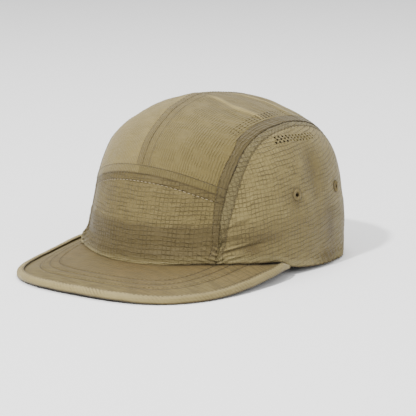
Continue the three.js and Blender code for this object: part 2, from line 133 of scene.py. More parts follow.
# Ventilation holes: rows by their height, or their distance in from the arch seam, and first y.
# Their rims carry painted shade for the dark inside seen through them, strong up to a given y on the sides
# and near a given y on the top.
HOLE_RADIUS = 0.00082
TOP_HOLE_RADIUS = 0.00052
HOLE_PITCH = 0.0037
SIDE_HOLES = [(0.0916, -0.0126), (0.0901, -0.0118), (0.0885, -0.0143)]
SIDE_HOLE_COUNT = 12
SIDE_HOLE_FALL = 0.065
SIDE_HOLE_SHADE_Y = 0.0005
TOP_HOLES = [(0.0082, -0.0390), (0.0099, -0.0394), (0.0116, -0.0398)]
TOP_HOLE_COUNT = 18
TOP_HOLE_SHADE_Y = 0.0

# Worked eyelets: y and height of each, and radius and height of the ring's section
EYELETS = [("front", -0.0088, 0.0534), ("back", 0.0424, 0.0515)]
EYELET_HOLE = 0.0020
EYELET_THREADS = 44
EYELET_RING = [(0.0013, -0.0014), (0.0013, -0.0004), (0.0014, 0.0003), (0.0018, 0.0007), (0.0024, 0.00085)]
EYELET_RING += [(0.0031, 0.0008), (0.0037, 0.00055), (0.0041, 0.00015), (0.0042, -0.0003)]

# A stitch is a capsule: place along it, size and height of its rings
STITCH_SIDES = 6
STITCH_RINGS = [(-1.0, 0.25, -0.9), (-0.72, 0.85, 0.0), (0.0, 1.0, 0.35)]
STITCH_RINGS += [(0.72, 0.85, 0.0), (1.0, 0.25, -0.9)]

# Soft shape: the foot's bulge over the brim, in front and at the sides, and the gathers behind
BULGE_FRONT = 0.0016
BULGE_SIDE = 0.0044
GATHER_DEPTH = 0.0009
GATHERS = 4

# Fine relief: heights, and pitches of the puckers and gathers
CRUMPLE = 0.00022
PUCKER = 0.00078
PUCKER_PITCH = 0.0033
TOP_PUCKER = 0.00022
TOP_PUCKER_PITCH = 0.0042
HEM_GATHER = 0.00060
HEM_GATHER_PITCH = 0.0052
ARCH_BAND = 0.00025
FRONT_SEAM_BAND = 0.00022
CENTRE_BAND = 0.00022
SWEATBAND_STEP = 0.00020
ROW_DIP = 0.00018
BRIM_ROW_DIP = 0.00024
BINDING_RIPPLE = 0.00006
EYELET_RIPPLE = 0.00009
FOLD_FULL = 0.0006

# Weave
RIPSTOP = 0.0029
SIDE_TILT = 0.13
TOP_RIB = 0.0015
BINDING_RIB = 0.0028
THREAD_PITCH = 0.00045

# Cloth's main colour, which its shades multiply, and its gloss
TAN = (0.157, 0.120, 0.042)
CLOTH_SPECULAR = 0.22
SHEEN_ROUGHNESS = 0.45
SHEEN_TINT = (1.0, 0.97, 0.88, 1)

# Camera
CAMERA_AZIMUTH = math.radians(36.30)
CAMERA_ELEVATION = math.radians(12.66)
CAMERA_DISTANCE = 1.4
CAMERA_LENS = 170.9
CAMERA_RIGHT = -0.00363
CAMERA_UP = 0.03110
CAMERA_FOOT = 0.0019


def smooth(t):
    s = np.clip(t, 0, 1)
    return s * s * (3 - 2 * s)


def bell(t):
    return np.exp(-t * t)


def lerp(a, b, t):
    return a + (b - a) * t


def power_of(value, power):
    return np.sign(value) * np.abs(value) ** power


def catmull(a, b, c, d, t):
    """A smooth curve from b to c, with the values before and after them."""
    square = (2 * a - 5 * b + 4 * c - d) * t * t
    cube = (3 * b - 3 * c + d - a) * t**3
    return 0.5 * (2 * b + (c - a) * t + square + cube)


def with_ghosts(key):
    """A column of the crown table with a row more at each end: straight on below, mirrored above."""
    rows = CROWN[key]
    above = rows[-2] if key == "z" else 2 * rows[-1] - rows[-2]
    return np.array([2 * rows[0] - rows[1], *rows, above])


GHOSTED = {key: with_ghosts(key) for key in CROWN}


def crown_row(u):
    index = np.clip(np.floor(u).astype(int), 0, APEX - 1)
    return {key: catmull(*(rows[index + k] for k in range(4)), u - index) for key, rows in GHOSTED.items()}


ROW_STEPS = np.linspace(0, APEX, 4000)
ROW_HEIGHTS = crown_row(ROW_STEPS)["z"]


def row_at_height(z):
    return np.interp(z, ROW_HEIGHTS, ROW_STEPS)


def cosine_at(row, y):
    middle = (row["back"] - row["front"]) / 2
    reach = (row["back"] + row["front"]) / 2
    return -power_of((y - middle) / reach, PLAN_POWER / 2)


def half_at(row, cosine):
    sine = np.sqrt(np.clip(1 - cosine * cosine, 0, None))
    return row["half"] * sine ** (2 / PLAN_POWER) * (1 - EGG * cosine)


def is_inside(x, y, z):
    row = crown_row(row_at_height(z))
    cosine = cosine_at(row, y)
    return (np.abs(cosine) < 1) & (half_at(row, cosine) > np.abs(x)) & (z < CROWN["z"][-1])


def place_of(x, y, z):
    """Angle from the front, and row, of a place on the crown."""
    u = row_at_height(z)
    cosine = np.clip(cosine_at(crown_row(u), y), -1, 1)
    return np.copysign(np.arccos(cosine), x), u


def plain_crown(angle, u):
    row = crown_row(u)
    middle = (row["back"] - row["front"]) / 2
    reach = (row["back"] + row["front"]) / 2
    x = row["half"] * power_of(np.sin(angle), 2 / PLAN_POWER) * (1 - EGG * np.cos(angle))
    y = middle - reach * power_of(np.cos(angle), 2 / PLAN_POWER)
    return np.stack([x, y, row["z"]], -1)


def unit(vectors):
    length = np.linalg.norm(vectors, axis=-1, keepdims=True)
    return vectors / np.maximum(length, 1e-12)


def crown_normal(angle, u):
    step = 0.01
    around = plain_crown(angle + step, u) - plain_crown(angle - step, u)
    up = plain_crown(angle, np.minimum(u + step, APEX)) - plain_crown(angle, np.maximum(u - step, 0))
    return unit(np.cross(around, up))


def table_value(table, y, key="z"):
    ys = np.array(table["y"])
    zs = np.array([table[key][0], *table[key], table[key][-1]])
    index = np.clip(np.searchsorted(ys, y, side="right") - 1, 0, len(ys) - 2)
    t = np.clip((y - ys[index]) / (ys[index + 1] - ys[index]), 0, 1)
    return catmull(*(zs[index + k] for k in range(4)), t)


def pinch(y):
    """Share of its thickness that the brim keeps: its ends are squeezed flat under the crown."""
    return lerp(1, PINCH_TO, smooth((y - PINCH_FROM) / PINCH_OVER))


def hem_height(angle):
    y = plain_crown(angle, np.zeros_like(angle))[..., 1]
    ride = BINDING_RISE * pinch(y) * smooth((y - RIDE_FROM) / RIDE_OVER)
    on_brim = table_value(BRIM_ROOT, y) + ride
    behind = np.interp(y, HEM["y"], HEM["z"])
    return np.where(y <= HEM["y"][0], on_brim, behind)


def arch_half(y):
    return table_value(ARCH, y, "half")


def arch_inner(z):
    return lerp(ARCH_INNER, ARCH_INNER_HIGH, smooth((z - 0.086) / 0.010))


def front_seam(x):
    return SEAM_Z - SEAM_DROP * (np.abs(x) / SEAM_AT) ** SEAM_POWER


# Soft dents of the side panels: y, z, length, height and depth
DENTS = [
    (0.013, 0.066, 0.009, 0.024, 0.0018),
    (0.030, 0.029, 0.014, 0.014, 0.0014),
    (-0.038, 0.024, 0.020, 0.007, 0.0009),
]


def soft_relief(angle, point):
    """The soft shape, the same as in the solids: bulge over the brim, gathers behind and dents."""
    x, y, z = np.moveaxis(point, -1, 0)
    turn = np.abs(np.degrees(np.arctan2(np.sin(angle), np.cos(angle))))
    side = bell((turn - 50) / 22)
    most = lerp(BULGE_FRONT, BULGE_SIDE, side) * smooth((78 - turn) / 22)
    over = smooth((0.0265 - z) / 0.0085)
    along = (turn - 96) / 84
    eased = smooth(along * 4)
    gather = np.cos(along * 2 * GATHERS * np.pi) * eased * bell(z / 0.016)
    relief = most * over - GATHER_DEPTH * (0.5 - 0.5 * gather) * eased
    beside = smooth((np.abs(x) - arch_half(y)) / 0.008)
    for dent_y, dent_z, long, tall, depth in DENTS:
        relief = relief - depth * beside * bell((y - dent_y) / long) * bell((z - dent_z) / tall)
    return relief


# Random soft waves of the cloth: lengths, directions and phases
RANDOM = np.random.default_rng(7)
WAVES = 26
WAVE_LENGTHS = RANDOM.uniform(0.009, 0.026, WAVES)
WAVE_VECTORS = 2 * np.pi * unit(RANDOM.normal(size=(WAVES, 3))) / WAVE_LENGTHS[:, None]
WAVE_PHASES = RANDOM.uniform(0, 2 * np.pi, WAVES)


def random_waves(point):
    """Soft waves of about -1 to 1."""
    total = 0
    for vector, phase, length in zip(WAVE_VECTORS, WAVE_PHASES, WAVE_LENGTHS):
        total = total + np.cos(point @ vector + phase) * length
    return total / WAVE_LENGTHS.sum() * math.sqrt(WAVES / 2)


def along_segment(a, b, p, q):
    """Signed distance from the line through a and b, and the share of the way along it."""
    (ax, ay), (bx, by) = a, b
    long = math.hypot(bx - ax, by - ay)
    along = ((p - ax) * (bx - ax) + (q - ay) * (by - ay)) / long**2
    across = ((p - ax) * (by - ay) - (q - ay) * (bx - ax)) / long
    return across, along


# Creases on both side panels: from a place to another (y, z), depth and half width
CREASES = [
    ((-0.0720, 0.0215), (-0.0400, 0.0258), 0.0010, 0.0012),
    ((-0.0690, 0.0290), (-0.0540, 0.0308), 0.0007, 0.0010),
    ((-0.0670, 0.0350), (-0.0460, 0.0428), 0.0006, 0.0012),
    ((-0.0720, 0.0170), (-0.0580, 0.0178), 0.0006, 0.0009),
]
# Fold ridges on the top, seen from above: from (x, y) to (x, y), height and half width
RIDGES = [
    ((0.006, -0.0160), (0.038, -0.0160), 0.0006, 0.0034),
    ((0.030, -0.0150), (0.048, -0.0060), 0.0006, 0.0032),
    ((0.020, -0.0240), (0.044, -0.0200), 0.0004, 0.0018),
    ((0.006, 0.010), (0.046, 0.030), 0.0006, 0.0024),
    ((0.012, 0.024), (0.044, 0.044), 0.0005, 0.0020),
    ((-0.044, -0.010), (-0.012, -0.024), 0.0002, 0.0030),
    ((-0.040, 0.030), (-0.008, 0.014), 0.0005, 0.0024),
]


def folds(point):
    """Height of the puckers, creases, fold ridges and gathers."""
    x, y, z = np.moveaxis(point, -1, 0)
    arch = np.abs(x) - arch_half(y)
    # puckers round the feet of the arch seams
    foot = bell((z - 0.0205) / 0.0085) * np.where(y < 0, 1, 0.5)
    reach = np.where(arch < 0, 0.0085, 0.0105)
    chevron = np.cos(2 * np.pi * (z - 0.45 * np.abs(arch) - 0.0007) / PUCKER_PITCH)
    relief = PUCKER * foot * chevron * np.exp(-np.abs(arch) / reach)
    # puckers outside the top of the arch seams
    beside = bell((arch - 0.0035) / 0.0035) * smooth((z - 0.078) / 0.006)
    relief = relief + TOP_PUCKER * beside * np.cos(2 * np.pi * (y + 1.6 * arch) / TOP_PUCKER_PITCH)
    outside = smooth(arch / 0.001) * np.where(y < 0, 1, 0)
    for start, end, depth, width in CREASES:
        off, along = along_segment(start, end, y, z)
        fade = smooth((along + 0.05) / 0.1) * smooth((1.15 - along) / 0.5)
        spread = width * (0.6 + 0.9 * np.clip(along, 0, 1))
        crease = 0.5 * bell((off + 1.6 * spread) / spread) - bell(off / spread)
        relief = relief + depth * outside * fade * crease
    on_top = smooth((z - 0.080) / 0.015)
    for start, end, height, width in RIDGES:
        off, along = along_segment(start, end, x, y)
        fade = smooth((along + 0.20) / 0.5) * smooth((1.20 - along) / 0.5)
        ridge = bell(off / width) - 0.4 * bell((off - 2 * width) / (1.5 * width))
        relief = relief + height * on_top * fade * ridge
    # hem: gathered behind the brim
    behind = smooth((y + 0.012) / 0.02)
    waves = np.cos(2 * np.pi * y / HEM_GATHER_PITCH + 9 * z / 0.01)
    relief = relief + HEM_GATHER * behind * waves * bell(z / 0.010)
    return relief


# Painted shade on the side panels, soft patches where the cloth turns inwards: y, z, length, height and
# strength
SHADE_PATCHES = [
    (0.0140, 0.0680, 0.0085, 0.0180, 0.6),
    (-0.0108, 0.0490, 0.0060, 0.0080, 0.6),
    (0.0270, 0.0270, 0.0070, 0.0170, 0.95),
    (-0.0430, 0.0285, 0.0180, 0.0045, 0.8),
    (-0.0510, 0.0225, 0.0080, 0.0035, 0.95),
    (0.0240, 0.0070, 0.0140, 0.0065, 0.9),
]


def shade_patches(point):
    """Strength of the painted shade patches, 0 to 1."""
    x, y, z = np.moveaxis(point, -1, 0)
    total = 0 * y
    for patch_y, patch_z, long, tall, strength in SHADE_PATCHES:
        total = np.maximum(total, strength * bell((y - patch_y) / long) * bell((z - patch_z) / tall))
    return total * smooth((np.abs(x) - arch_half(y)) / 0.004)


def fine_relief(point):
    """Height of the seams' edges and bands, the crumpled cloth and its folds."""
    x, y, z = np.moveaxis(point, -1, 0)
    across = np.abs(x)
    arch = across - arch_half(y)
    relief = CRUMPLE * random_waves(point)
    # arch seams: a lapped edge with a padded band on both sides
    inner = arch_inner(z)
    band = smooth((arch + inner) / 0.0008) * smooth((ARCH_OUTER - arch) / 0.0008)
    relief = relief + ARCH_BAND * band
    relief = relief - ROW_DIP * bell((arch + inner - ROW_INSET) / 0.0007)
    relief = relief - ROW_DIP * bell((arch - ARCH_OUTER + ROW_INSET) / 0.0007)
    lap = np.where(arch <= 0, 0.00022 * bell(arch / 0.0022), -0.00030 * bell(arch / 0.0010))
    relief = relief + lap
    # front seam
    front = (z - front_seam(x)) * 1.05
    is_front = smooth((-0.020 - y) / 0.004) * smooth(-arch / 0.0006)
    front_band = smooth((front + FRONT_BAND) / 0.0008) * smooth((FRONT_BAND - front) / 0.0008)
    lap = np.where(front >= 0, 0.00016 * bell(front / 0.0024), -0.00014 * bell(front / 0.0016))
    relief = relief + is_front * (FRONT_SEAM_BAND * front_band + lap)
    # centre seam
    above = np.where(y < 0, smooth((front - FRONT_BAND) / 0.001), 1)
    centre = CENTRE_BAND * smooth((CENTRE_HALF + 0.0004 - np.abs(x - CENTRE_X)) / 0.0007)
    centre = centre - 0.00016 * bell((np.abs(x - CENTRE_X) - CENTRE_HALF) / 0.0007)
    relief = relief + above * centre
    # edge of the sweatband under the cloth
    relief = relief + SWEATBAND_STEP * smooth((SWEATBAND_TOP - z) / 0.0015) * smooth((z - 0.020) / 0.01)
    return relief + folds(point)


def crown_layer(angle, u, inset=0.0, fine=1.0):
    """A point of the crown, moved inwards by inset. Near the lower edge the move is level."""
    point = plain_crown(angle, u)
    normal = crown_normal(angle, u)
    soft = soft_relief(angle, point)
    level = smooth((point[..., 2] - hem_height(angle)) / 0.010)
    flat = unit(normal * np.stack([np.ones_like(level), np.ones_like(level), level], -1))
    moved = point + flat * soft[..., None]
    relief = fine * fine_relief(moved) if fine else 0 * soft
    return moved + flat * (relief - inset)[..., None]


def first_outside(point_at, low, high):
    for _ in range(34):
        middle = (low + high) / 2
        inside = is_inside(*point_at(middle))
        low = np.where(inside, middle, low)
        high = np.where(inside, high, middle)
    return (low + high) / 2


def over_crown(x_of, turn):
    """Angle and row where x is x_of(y, z), at turns from 0 in front over the top to pi behind."""
    shift = np.zeros_like(turn)
    for _ in range(3):

        def point_at(reach):
            y = -reach * np.cos(turn)
            z = reach * np.sin(turn)
            return x_of(y, z) - shift, y, z

        reach = first_outside(point_at, np.zeros_like(turn), np.full_like(turn, 0.2))
        angle, u = place_of(*point_at(reach))
        moved = crown_layer(angle, u, fine=0)
        shift = shift + moved[..., 0] - x_of(moved[..., 1], moved[..., 2])
    return angle, u


def arc_lengths(points):
    steps = np.linalg.norm(np.diff(points, axis=0), axis=-1)
    return np.concatenate([np.zeros_like(steps[:1]), np.cumsum(steps, axis=0)])


def dense(low, high, coarse, fine_zones, fine):
    """Stations from low to high, a step of coarse apart, or fine inside the zones."""
    samples = np.linspace(low, high, 4000)
    density = np.full_like(samples, 1 / coarse)
    for a, b in fine_zones:
        density = np.where((samples > a) & (samples < b), 1 / fine, density)
    count = np.concatenate([[0], np.cumsum((density[1:] + density[:-1]) / 2 * np.diff(samples))])
    steps = int(round(count[-1]))
    return np.interp(np.linspace(0, count[-1], steps + 1), count, samples)


def grid_quads(rows, columns, wrap=False):
    across = columns if wrap else columns - 1
    j, i = np.meshgrid(np.arange(rows - 1), np.arange(across), indexing="ij")
    right = (i + 1) % columns
    quads = [j * columns + i, j * columns + right, (j + 1) * columns + right, (j + 1) * columns + i]
    return np.stack(quads, -1).reshape(-1, 4)


def make_piece(name, points, quads, numbers=None, cloth_uv=None):
    """A mesh in the shared frame. points are crown-centred. numbers become mesh attributes."""
    points = points.reshape(-1, 3)
    used = np.unique(quads)
    renumber = np.full(len(points), -1)
    renumber[used] = np.arange(len(used))
    mesh = bpy.data.meshes.new(name)
    shifted = points[used] + np.array([0, CROWN_Y, 0])
    shifted[:, 2] = np.maximum(shifted[:, 2], FLOOR_CLEAR)
    mesh.from_pydata(shifted.tolist(), [], renumber[quads].tolist())
    for key, values in (numbers or {}).items():
        layer = mesh.attributes.new(key, "FLOAT", "POINT")
        layer.data.foreach_set("value", np.ascontiguousarray(values.ravel()[used], dtype=np.float32))
    if cloth_uv is not None:
        layer = mesh.uv_layers.new(name="cloth")
        corners = np.empty(len(mesh.loops), dtype=np.int32)
        mesh.loops.foreach_get("vertex_index", corners)
        corner_uv = cloth_uv.reshape(-1, 2)[used][corners]
        layer.data.foreach_set("uv", np.ascontiguousarray(corner_uv, dtype=np.float32).ravel())
    mesh.validate()
    mesh.polygons.foreach_set("use_smooth", np.ones(len(mesh.polygons), dtype=bool))
    piece = bpy.data.objects.new(name, mesh)
    bpy.context.scene.collection.objects.link(piece)
    return piece


def weld(piece, distance=1e-6):
    modifier = piece.modifiers.new("weld", "WELD")
    modifier.merge_threshold = distance


def thicken(piece, thickness):
    modifier = piece.modifiers.new("cloth", "SOLIDIFY")
    modifier.thickness = thickness
    modifier.offset = -1
    modifier.use_even_offset = False
    rims = piece.modifiers.new("rims", "EDGE_SPLIT")
    rims.split_angle = math.radians(60)


def seam_numbers(points):
    """Signed distances from the seams, which the cloth's material reads."""
    x, y, z = np.moveaxis(points, -1, 0)
    arch = np.abs(x) - arch_half(y)
    arch = np.where(arch < 0, arch * ARCH_INNER / arch_inner(z), arch)
    front = np.where((y < -0.02) & (arch < 0.0005), (z - front_seam(x)) * 1.05, 0.05)
    return {"arch": arch, "front": front, "centre": x - CENTRE_X}


def pierce(points, quads, centres, radius):
    """Opens round holes in a grid: drops the faces inside each and rounds their edge."""
    points = points.copy()
    middles = points[quads].mean(1)
    kept = np.ones(len(quads), dtype=bool)
    for centre in centres:
        inside = np.flatnonzero(np.linalg.norm(middles - centre, axis=1) < radius * 0.95)
        kept[inside] = False
        rim = np.unique(quads[inside])
        away = points[rim] - centre
        points[rim] = centre + unit(away) * radius
    return points, quads[kept]


def side_hole_places():
    """Height and y of the holes on a side panel, in rows that fall a little towards the back."""
    y = np.array([start + HOLE_PITCH * np.arange(SIDE_HOLE_COUNT) for z, start in SIDE_HOLES])
    z = np.array([[z] for z, start in SIDE_HOLES]) - SIDE_HOLE_FALL * np.maximum(y, 0)
    return z.ravel(), y.ravel()


def top_hole_places():
    """Distance from the middle and y of the holes on a top panel, in rows along the arch seam."""
    y = np.array([start + HOLE_PITCH * np.arange(TOP_HOLE_COUNT) for inside, start in TOP_HOLES])
    half = arch_half(y) - np.array([[inside] for inside, start in TOP_HOLES])
    return half.ravel(), y.ravel()


# Crown panels
def middle_grid(shares, low_edge, high_edge, step, fine_zones=(), fine=None):
    """Places between the arch seams: columns at shares of their half distance, from edge to edge."""
    turns = np.linspace(0.001, np.pi, 420)
    share, turn = np.meshgrid(shares, turns)
    angle, u = over_crown(lambda y, z: share * arch_half(y), turn)
    points = crown_layer(angle, u, fine=0)
    start = low_edge(points, angle, turns)
    end = high_edge(points, angle, turns)
    length = arc_lengths(points)
    columns = len(shares)
    s0 = np.array([np.interp(start[i], turns, length[:, i]) for i in range(columns)])
    s1 = np.array([np.interp(end[i], turns, length[:, i]) for i in range(columns)])
    middle = columns // 2
    zones = []
    for a, b in fine_zones:
        ys = points[:, middle, 1]
        zones.append(tuple((np.interp([a, b], ys, length[:, middle]) - s0[middle]) / (s1 - s0)[middle]))
    span = (s1 - s0)[middle]
    t = dense(0, 1, step / span, zones, (fine or step) / span)
    grid_turns = np.stack([np.interp(lerp(s0[i], s1[i], t), length[:, i], turns) for i in range(columns)], 1)
    share = np.broadcast_to(shares, grid_turns.shape)
    return over_crown(lambda y, z: share * arch_half(y), grid_turns)


def crossing(values, turns):
    """The first turn at which each column of values rises past 0."""
    first = np.maximum(np.argmax(values > 0, axis=0), 1)
    columns = np.arange(values.shape[1])
    a = values[first - 1, columns]
    b = values[first, columns]
    t = np.clip(-a / np.where(b == a, 1, b - a), 0, 1)
    return lerp(turns[first - 1], turns[first], t)


def at_hem(points, angle, turns):
    return crossing(points[..., 2] - hem_height(angle), turns)


def beyond_front_seam(offset):
    """The edge of a panel or tape at a distance up from the front seam."""

    def edge(points, angle, turns):
        return crossing(points[..., 2] - front_seam(points[..., 0]) - offset, turns)

    return edge


def at_back(points, angle, turns):
    return np.full(points.shape[1], np.pi)


def nearest_mark(points, marks, strengths):
    """Distance from the nearest of the marks, up to 10 mm, and that mark's strength."""
    nearest = np.full(points.shape[:-1], 0.010)
    strength = np.zeros_like(nearest)
    for mark, value in zip(marks, strengths):
        distance = np.linalg.norm(points - mark, axis=-1)
        strength = np.where(distance < nearest, value, strength)
        nearest = np.minimum(distance, nearest)
    return nearest, strength


def panel(name, angle, u, uv, holes=(), hole_shades=(), radius=0, flip=False, eyelets=()):
    points = crown_layer(angle, u)
    plain = crown_layer(angle, u, fine=0)
    numbers = seam_numbers(plain)
    # How far each point is from the nearest hole, and how much painted shade that hole's rim gets
    numbers["hole"], numbers["hole_shade"] = nearest_mark(points, holes, hole_shades)
    numbers["eyelet"] = nearest_mark(points, eyelets, [1] * len(eyelets))[0]
    # Fold height, which the cloth turns into painted highlight on ridges and painted shade in hollows
    numbers["fold"] = folds(plain) / FOLD_FULL
    # Strength of the painted shade patches
    numbers["shade_patch"] = shade_patches(plain)
    numbers["low"] = points[..., 2] - hem_height(angle)
    rows, columns = angle.shape
    quads = grid_quads(rows, columns)
    if flip:
        quads = quads[:, ::-1]
    flat = points.reshape(-1, 3)
    flat, quads = pierce(flat, quads, holes, radius)
    flat, quads = pierce(flat, quads, eyelets, EYELET_HOLE)
    piece = make_piece(name, flat, quads, numbers, uv)
    weld(piece)
    thicken(piece, CLOTH)
    return piece


def level_arc(angle, u, start):
    """Length round the crown at the same height, from the angle start."""
    steps = 24
    previous = plain_crown(start + 0 * angle, u)
    total = np.zeros_like(angle)
    for k in range(1, steps + 1):
        point = plain_crown(lerp(start, angle, k / steps), u)
        total += np.linalg.norm(point - previous, axis=-1)
        previous = point
    return total * np.sign(angle - start)


def height_arc(u, start):
    """Length up the crown at one angle, for every row u."""
    rows = np.linspace(0, APEX, 500)
    length = arc_lengths(plain_crown(np.full_like(rows, start), rows))
    return np.interp(u, rows, length)


def front_panel():
    shares = np.linspace(-1, 1, 145)
    angle, u = middle_grid(shares, at_hem, beyond_front_seam(0), 0.0008)
    uv = np.stack([level_arc(angle, u, 0.0), height_arc(u, 0.0)], -1)
    return panel("front_panel_cloth", angle, u, uv)


def top_panel(side, word):
    half = dense(0, ARCH_HALF, 0.0009, [(0.0415, 0.0475)], 0.0005) / ARCH_HALF
    shares = side * half
    start = beyond_front_seam(0)
    angle, u = middle_grid(shares, start, at_back, 0.0011, [(-0.043, 0.031)], 0.00055)
    points = crown_layer(angle, u, fine=0)
    uv = np.stack([points[..., 0], arc_lengths(points)], -1)
    half_width, y = top_hole_places()
    z = first_outside(lambda z: (half_width, y, z), np.full_like(y, 0.03), np.full_like(y, 0.12))
    hole_angle, hole_u = place_of(side * half_width, y, z)
    holes = crown_layer(hole_angle, hole_u)
    # Painted shade of the holes' rims: strongest about halfway from front to back
    hole_shades = 0.15 + 0.65 * bell((y - TOP_HOLE_SHADE_Y) / 0.014)
    return panel(f"top_panel_{word}_cloth", angle, u, uv, holes, hole_shades, TOP_HOLE_RADIUS, flip=side < 0)


def side_edge(angle):
    """The row at which a side panel ends at the arch seam, for every angle."""
    low = row_at_height(hem_height(angle))
    start = low
    high = np.full_like(angle, APEX - 0.5)
    for _ in range(34):
        middle = (low + high) / 2
        point = crown_layer(angle, middle, fine=0)
        outside = np.abs(point[..., 0]) > arch_half(point[..., 1])
        low = np.where(outside, middle, low)
        high = np.where(outside, high, middle)
    return np.maximum(low, start)


def from_side(side, y, z):
    """Places on a side panel, seen from the side."""
    y = np.asarray(y, dtype=float)
    z = np.asarray(z, dtype=float)
    row = row_at_height(z)
    angle = np.arccos(np.clip(cosine_at(crown_row(row), y), -1, 1))
    return np.full_like(y, side) * angle, row


def side_panel(side, word):
    angles = np.linspace(0.3, 3.0, 2700)
    is_open = side_edge(angles) > row_at_height(hem_height(angles)) + 1e-4
    ends = angles[is_open][[0, -1]]
    low_row = row_at_height(0.050)
    samples = np.linspace(*ends, 1500)
    section = plain_crown(samples, np.full_like(samples, low_row))
    length = arc_lengths(section)
    fine_zone = tuple(np.interp([-0.016, 0.034], section[:, 1], length))
    stations = dense(0, length[-1], 0.0010, [fine_zone], 0.00055)
    columns = np.interp(stations, length, samples)
    t = dense(0, 1, 0.0095, [(0.86, 1.0)], 0.0052)
    low = row_at_height(hem_height(columns))
    high = side_edge(columns)
    u = lerp(low[None], high[None], t[:, None])
    angle = np.broadcast_to(columns, u.shape)
    around = level_arc(angle, u, np.pi / 2)
    uv = np.stack([around, height_arc(u, np.pi / 2) - SIDE_TILT * around], -1)
    z, y = side_hole_places()
    hole_angle, hole_u = from_side(side, y, z)
    holes = crown_layer(hole_angle, hole_u)
    eyelets = crown_layer(*from_side(side, [row[1] for row in EYELETS], [row[2] for row in EYELETS]))
    name = f"side_panel_{word}_cloth"
    # Painted shade of the holes' rims: strong in front, faint behind
    hole_shades = np.where(y < SIDE_HOLE_SHADE_Y, 1.0, 0.25)
    return panel(name, side * angle, u, uv, holes, hole_shades, HOLE_RADIUS, side < 0, eyelets)


def spread(points, count):
    """Points spread evenly along a line of many points."""
    length = arc_lengths(points)
    stations = np.linspace(0, length[-1], count + 1)
    return np.stack([np.interp(stations, length, points[:, k]) for k in range(points.shape[1])], -1)


# Brim
def brim_edge():
    """Its outer edge seen from above, from its right end round the front to its left end."""
    y = np.linspace(BRIM_ROOT_Y, BRIM_SQUARE_Y, EDGE_STEPS, endpoint=False)
    t = (y - BRIM_SQUARE_Y) / (BRIM_ROOT_Y - BRIM_SQUARE_Y)
    side = np.stack([lerp(BRIM_HALF, BRIM_ROOT_HALF, t * t), y], -1)
    turn = np.linspace(0, np.pi / 2, EDGE_STEPS + 1)
    x = BRIM_HALF * np.abs(np.cos(turn)) ** (2 / BRIM_POWER)
    y = BRIM_SQUARE_Y - (BRIM_FRONT + BRIM_SQUARE_Y) * np.sin(turn) ** (2 / BRIM_POWER)
    x[-1] = 0
    half = np.concatenate([side, np.stack([x, y], -1)])
    other = half[:-1] * [-1, 1]
    return spread(np.concatenate([other, half[::-1]]), BRIM_COLUMNS)


def brim_root():
    """The line where it is sewn to the crown, from the right end to the left end."""
    floor_row = crown_row(np.zeros(1))
    last = np.arccos(cosine_at(floor_row, BRIM_ROOT_Y - BRIM_ROOT_SHORT))[0]
    angle = np.linspace(-last, last, EDGE_STEPS + 1)
    points = crown_layer(angle, row_at_height(hem_height(angle)), BRIM_TUCK, fine=0)
    return spread(points[:, :2], BRIM_COLUMNS)


EDGE = brim_edge()
ROOT = brim_root()
BRIM_WIDTH = np.linalg.norm(EDGE - ROOT, axis=1)


# The brim's edge on the wearer's right is level under the binding and lifts a little to the back
RIGHT = smooth((-EDGE[:, 0] - 0.050) / 0.022) * smooth((EDGE[:, 1] + 0.148) / 0.030)
RIGHT = (RIGHT * smooth((-0.028 - EDGE[:, 1]) / 0.016))[:, None]
RIGHT_LIFT = RIGHT_RISE * RIGHT * np.clip((EDGE[:, 1:] + 0.085) / 0.035, 0, 1)


def brim_point(inwards, rise):
    """Points of the brim's top for each station, inwards metres from its edge, raised by rise."""
    across = inwards / BRIM_WIDTH[:, None]
    flat = lerp(EDGE[:, None], ROOT[:, None], across[..., None])
    low = table_value(BRIM_EDGE, EDGE[:, 1])[:, None] + RIGHT_LIFT
    high = table_value(BRIM_ROOT, ROOT[:, 1])[:, None]
    level = RIGHT_LEVEL * RIGHT
    risen = np.clip((inwards - level) / (BRIM_WIDTH[:, None] - level), 0, 1)
    swell = BRIM_SWELL * np.sin(np.pi * risen)
    z = lerp(low, high, risen) + swell + rise * pinch(EDGE[:, 1])[:, None]
    return np.concatenate([flat, z[..., None]], -1)


def edge_distance(points):
    """Distance seen from above from the brim's outer edge."""
    flat = points.reshape(-1, 1, 2)
    nearest = [np.linalg.norm(part - EDGE[None], axis=-1).min(1) for part in np.array_split(flat, 24)]
    return np.concatenate(nearest).reshape(points.shape[:-1])


def brim_plate():
    share = np.linspace(0, 1, 66)
    inwards = lerp(PLATE_START, BRIM_WIDTH[:, None], share)
    points = brim_point(np.maximum(inwards, PLATE_START), 0)
    distance = edge_distance(points[..., :2])
    relief = 0.00008 * random_waves(points * 1.4)
    for row in BRIM_STITCHES:
        relief = relief - BRIM_ROW_DIP * bell((distance - row) / 0.0009)
    quilt = smooth((distance - BRIM_STITCHES[0]) / 0.002) * smooth((BRIM_STITCHES[-1] - distance) / 0.002)
    points[..., 2] += relief + 0.0001 * quilt
    numbers = {"edge": distance, "root": BRIM_WIDTH[:, None] - inwards}
    quads = grid_quads(*distance.shape)[:, ::-1]
    piece = make_piece("brim_cloth", points, quads, numbers, points[..., :2])
    thicken(piece, BRIM_PLATE - 0.0001)
    return piece


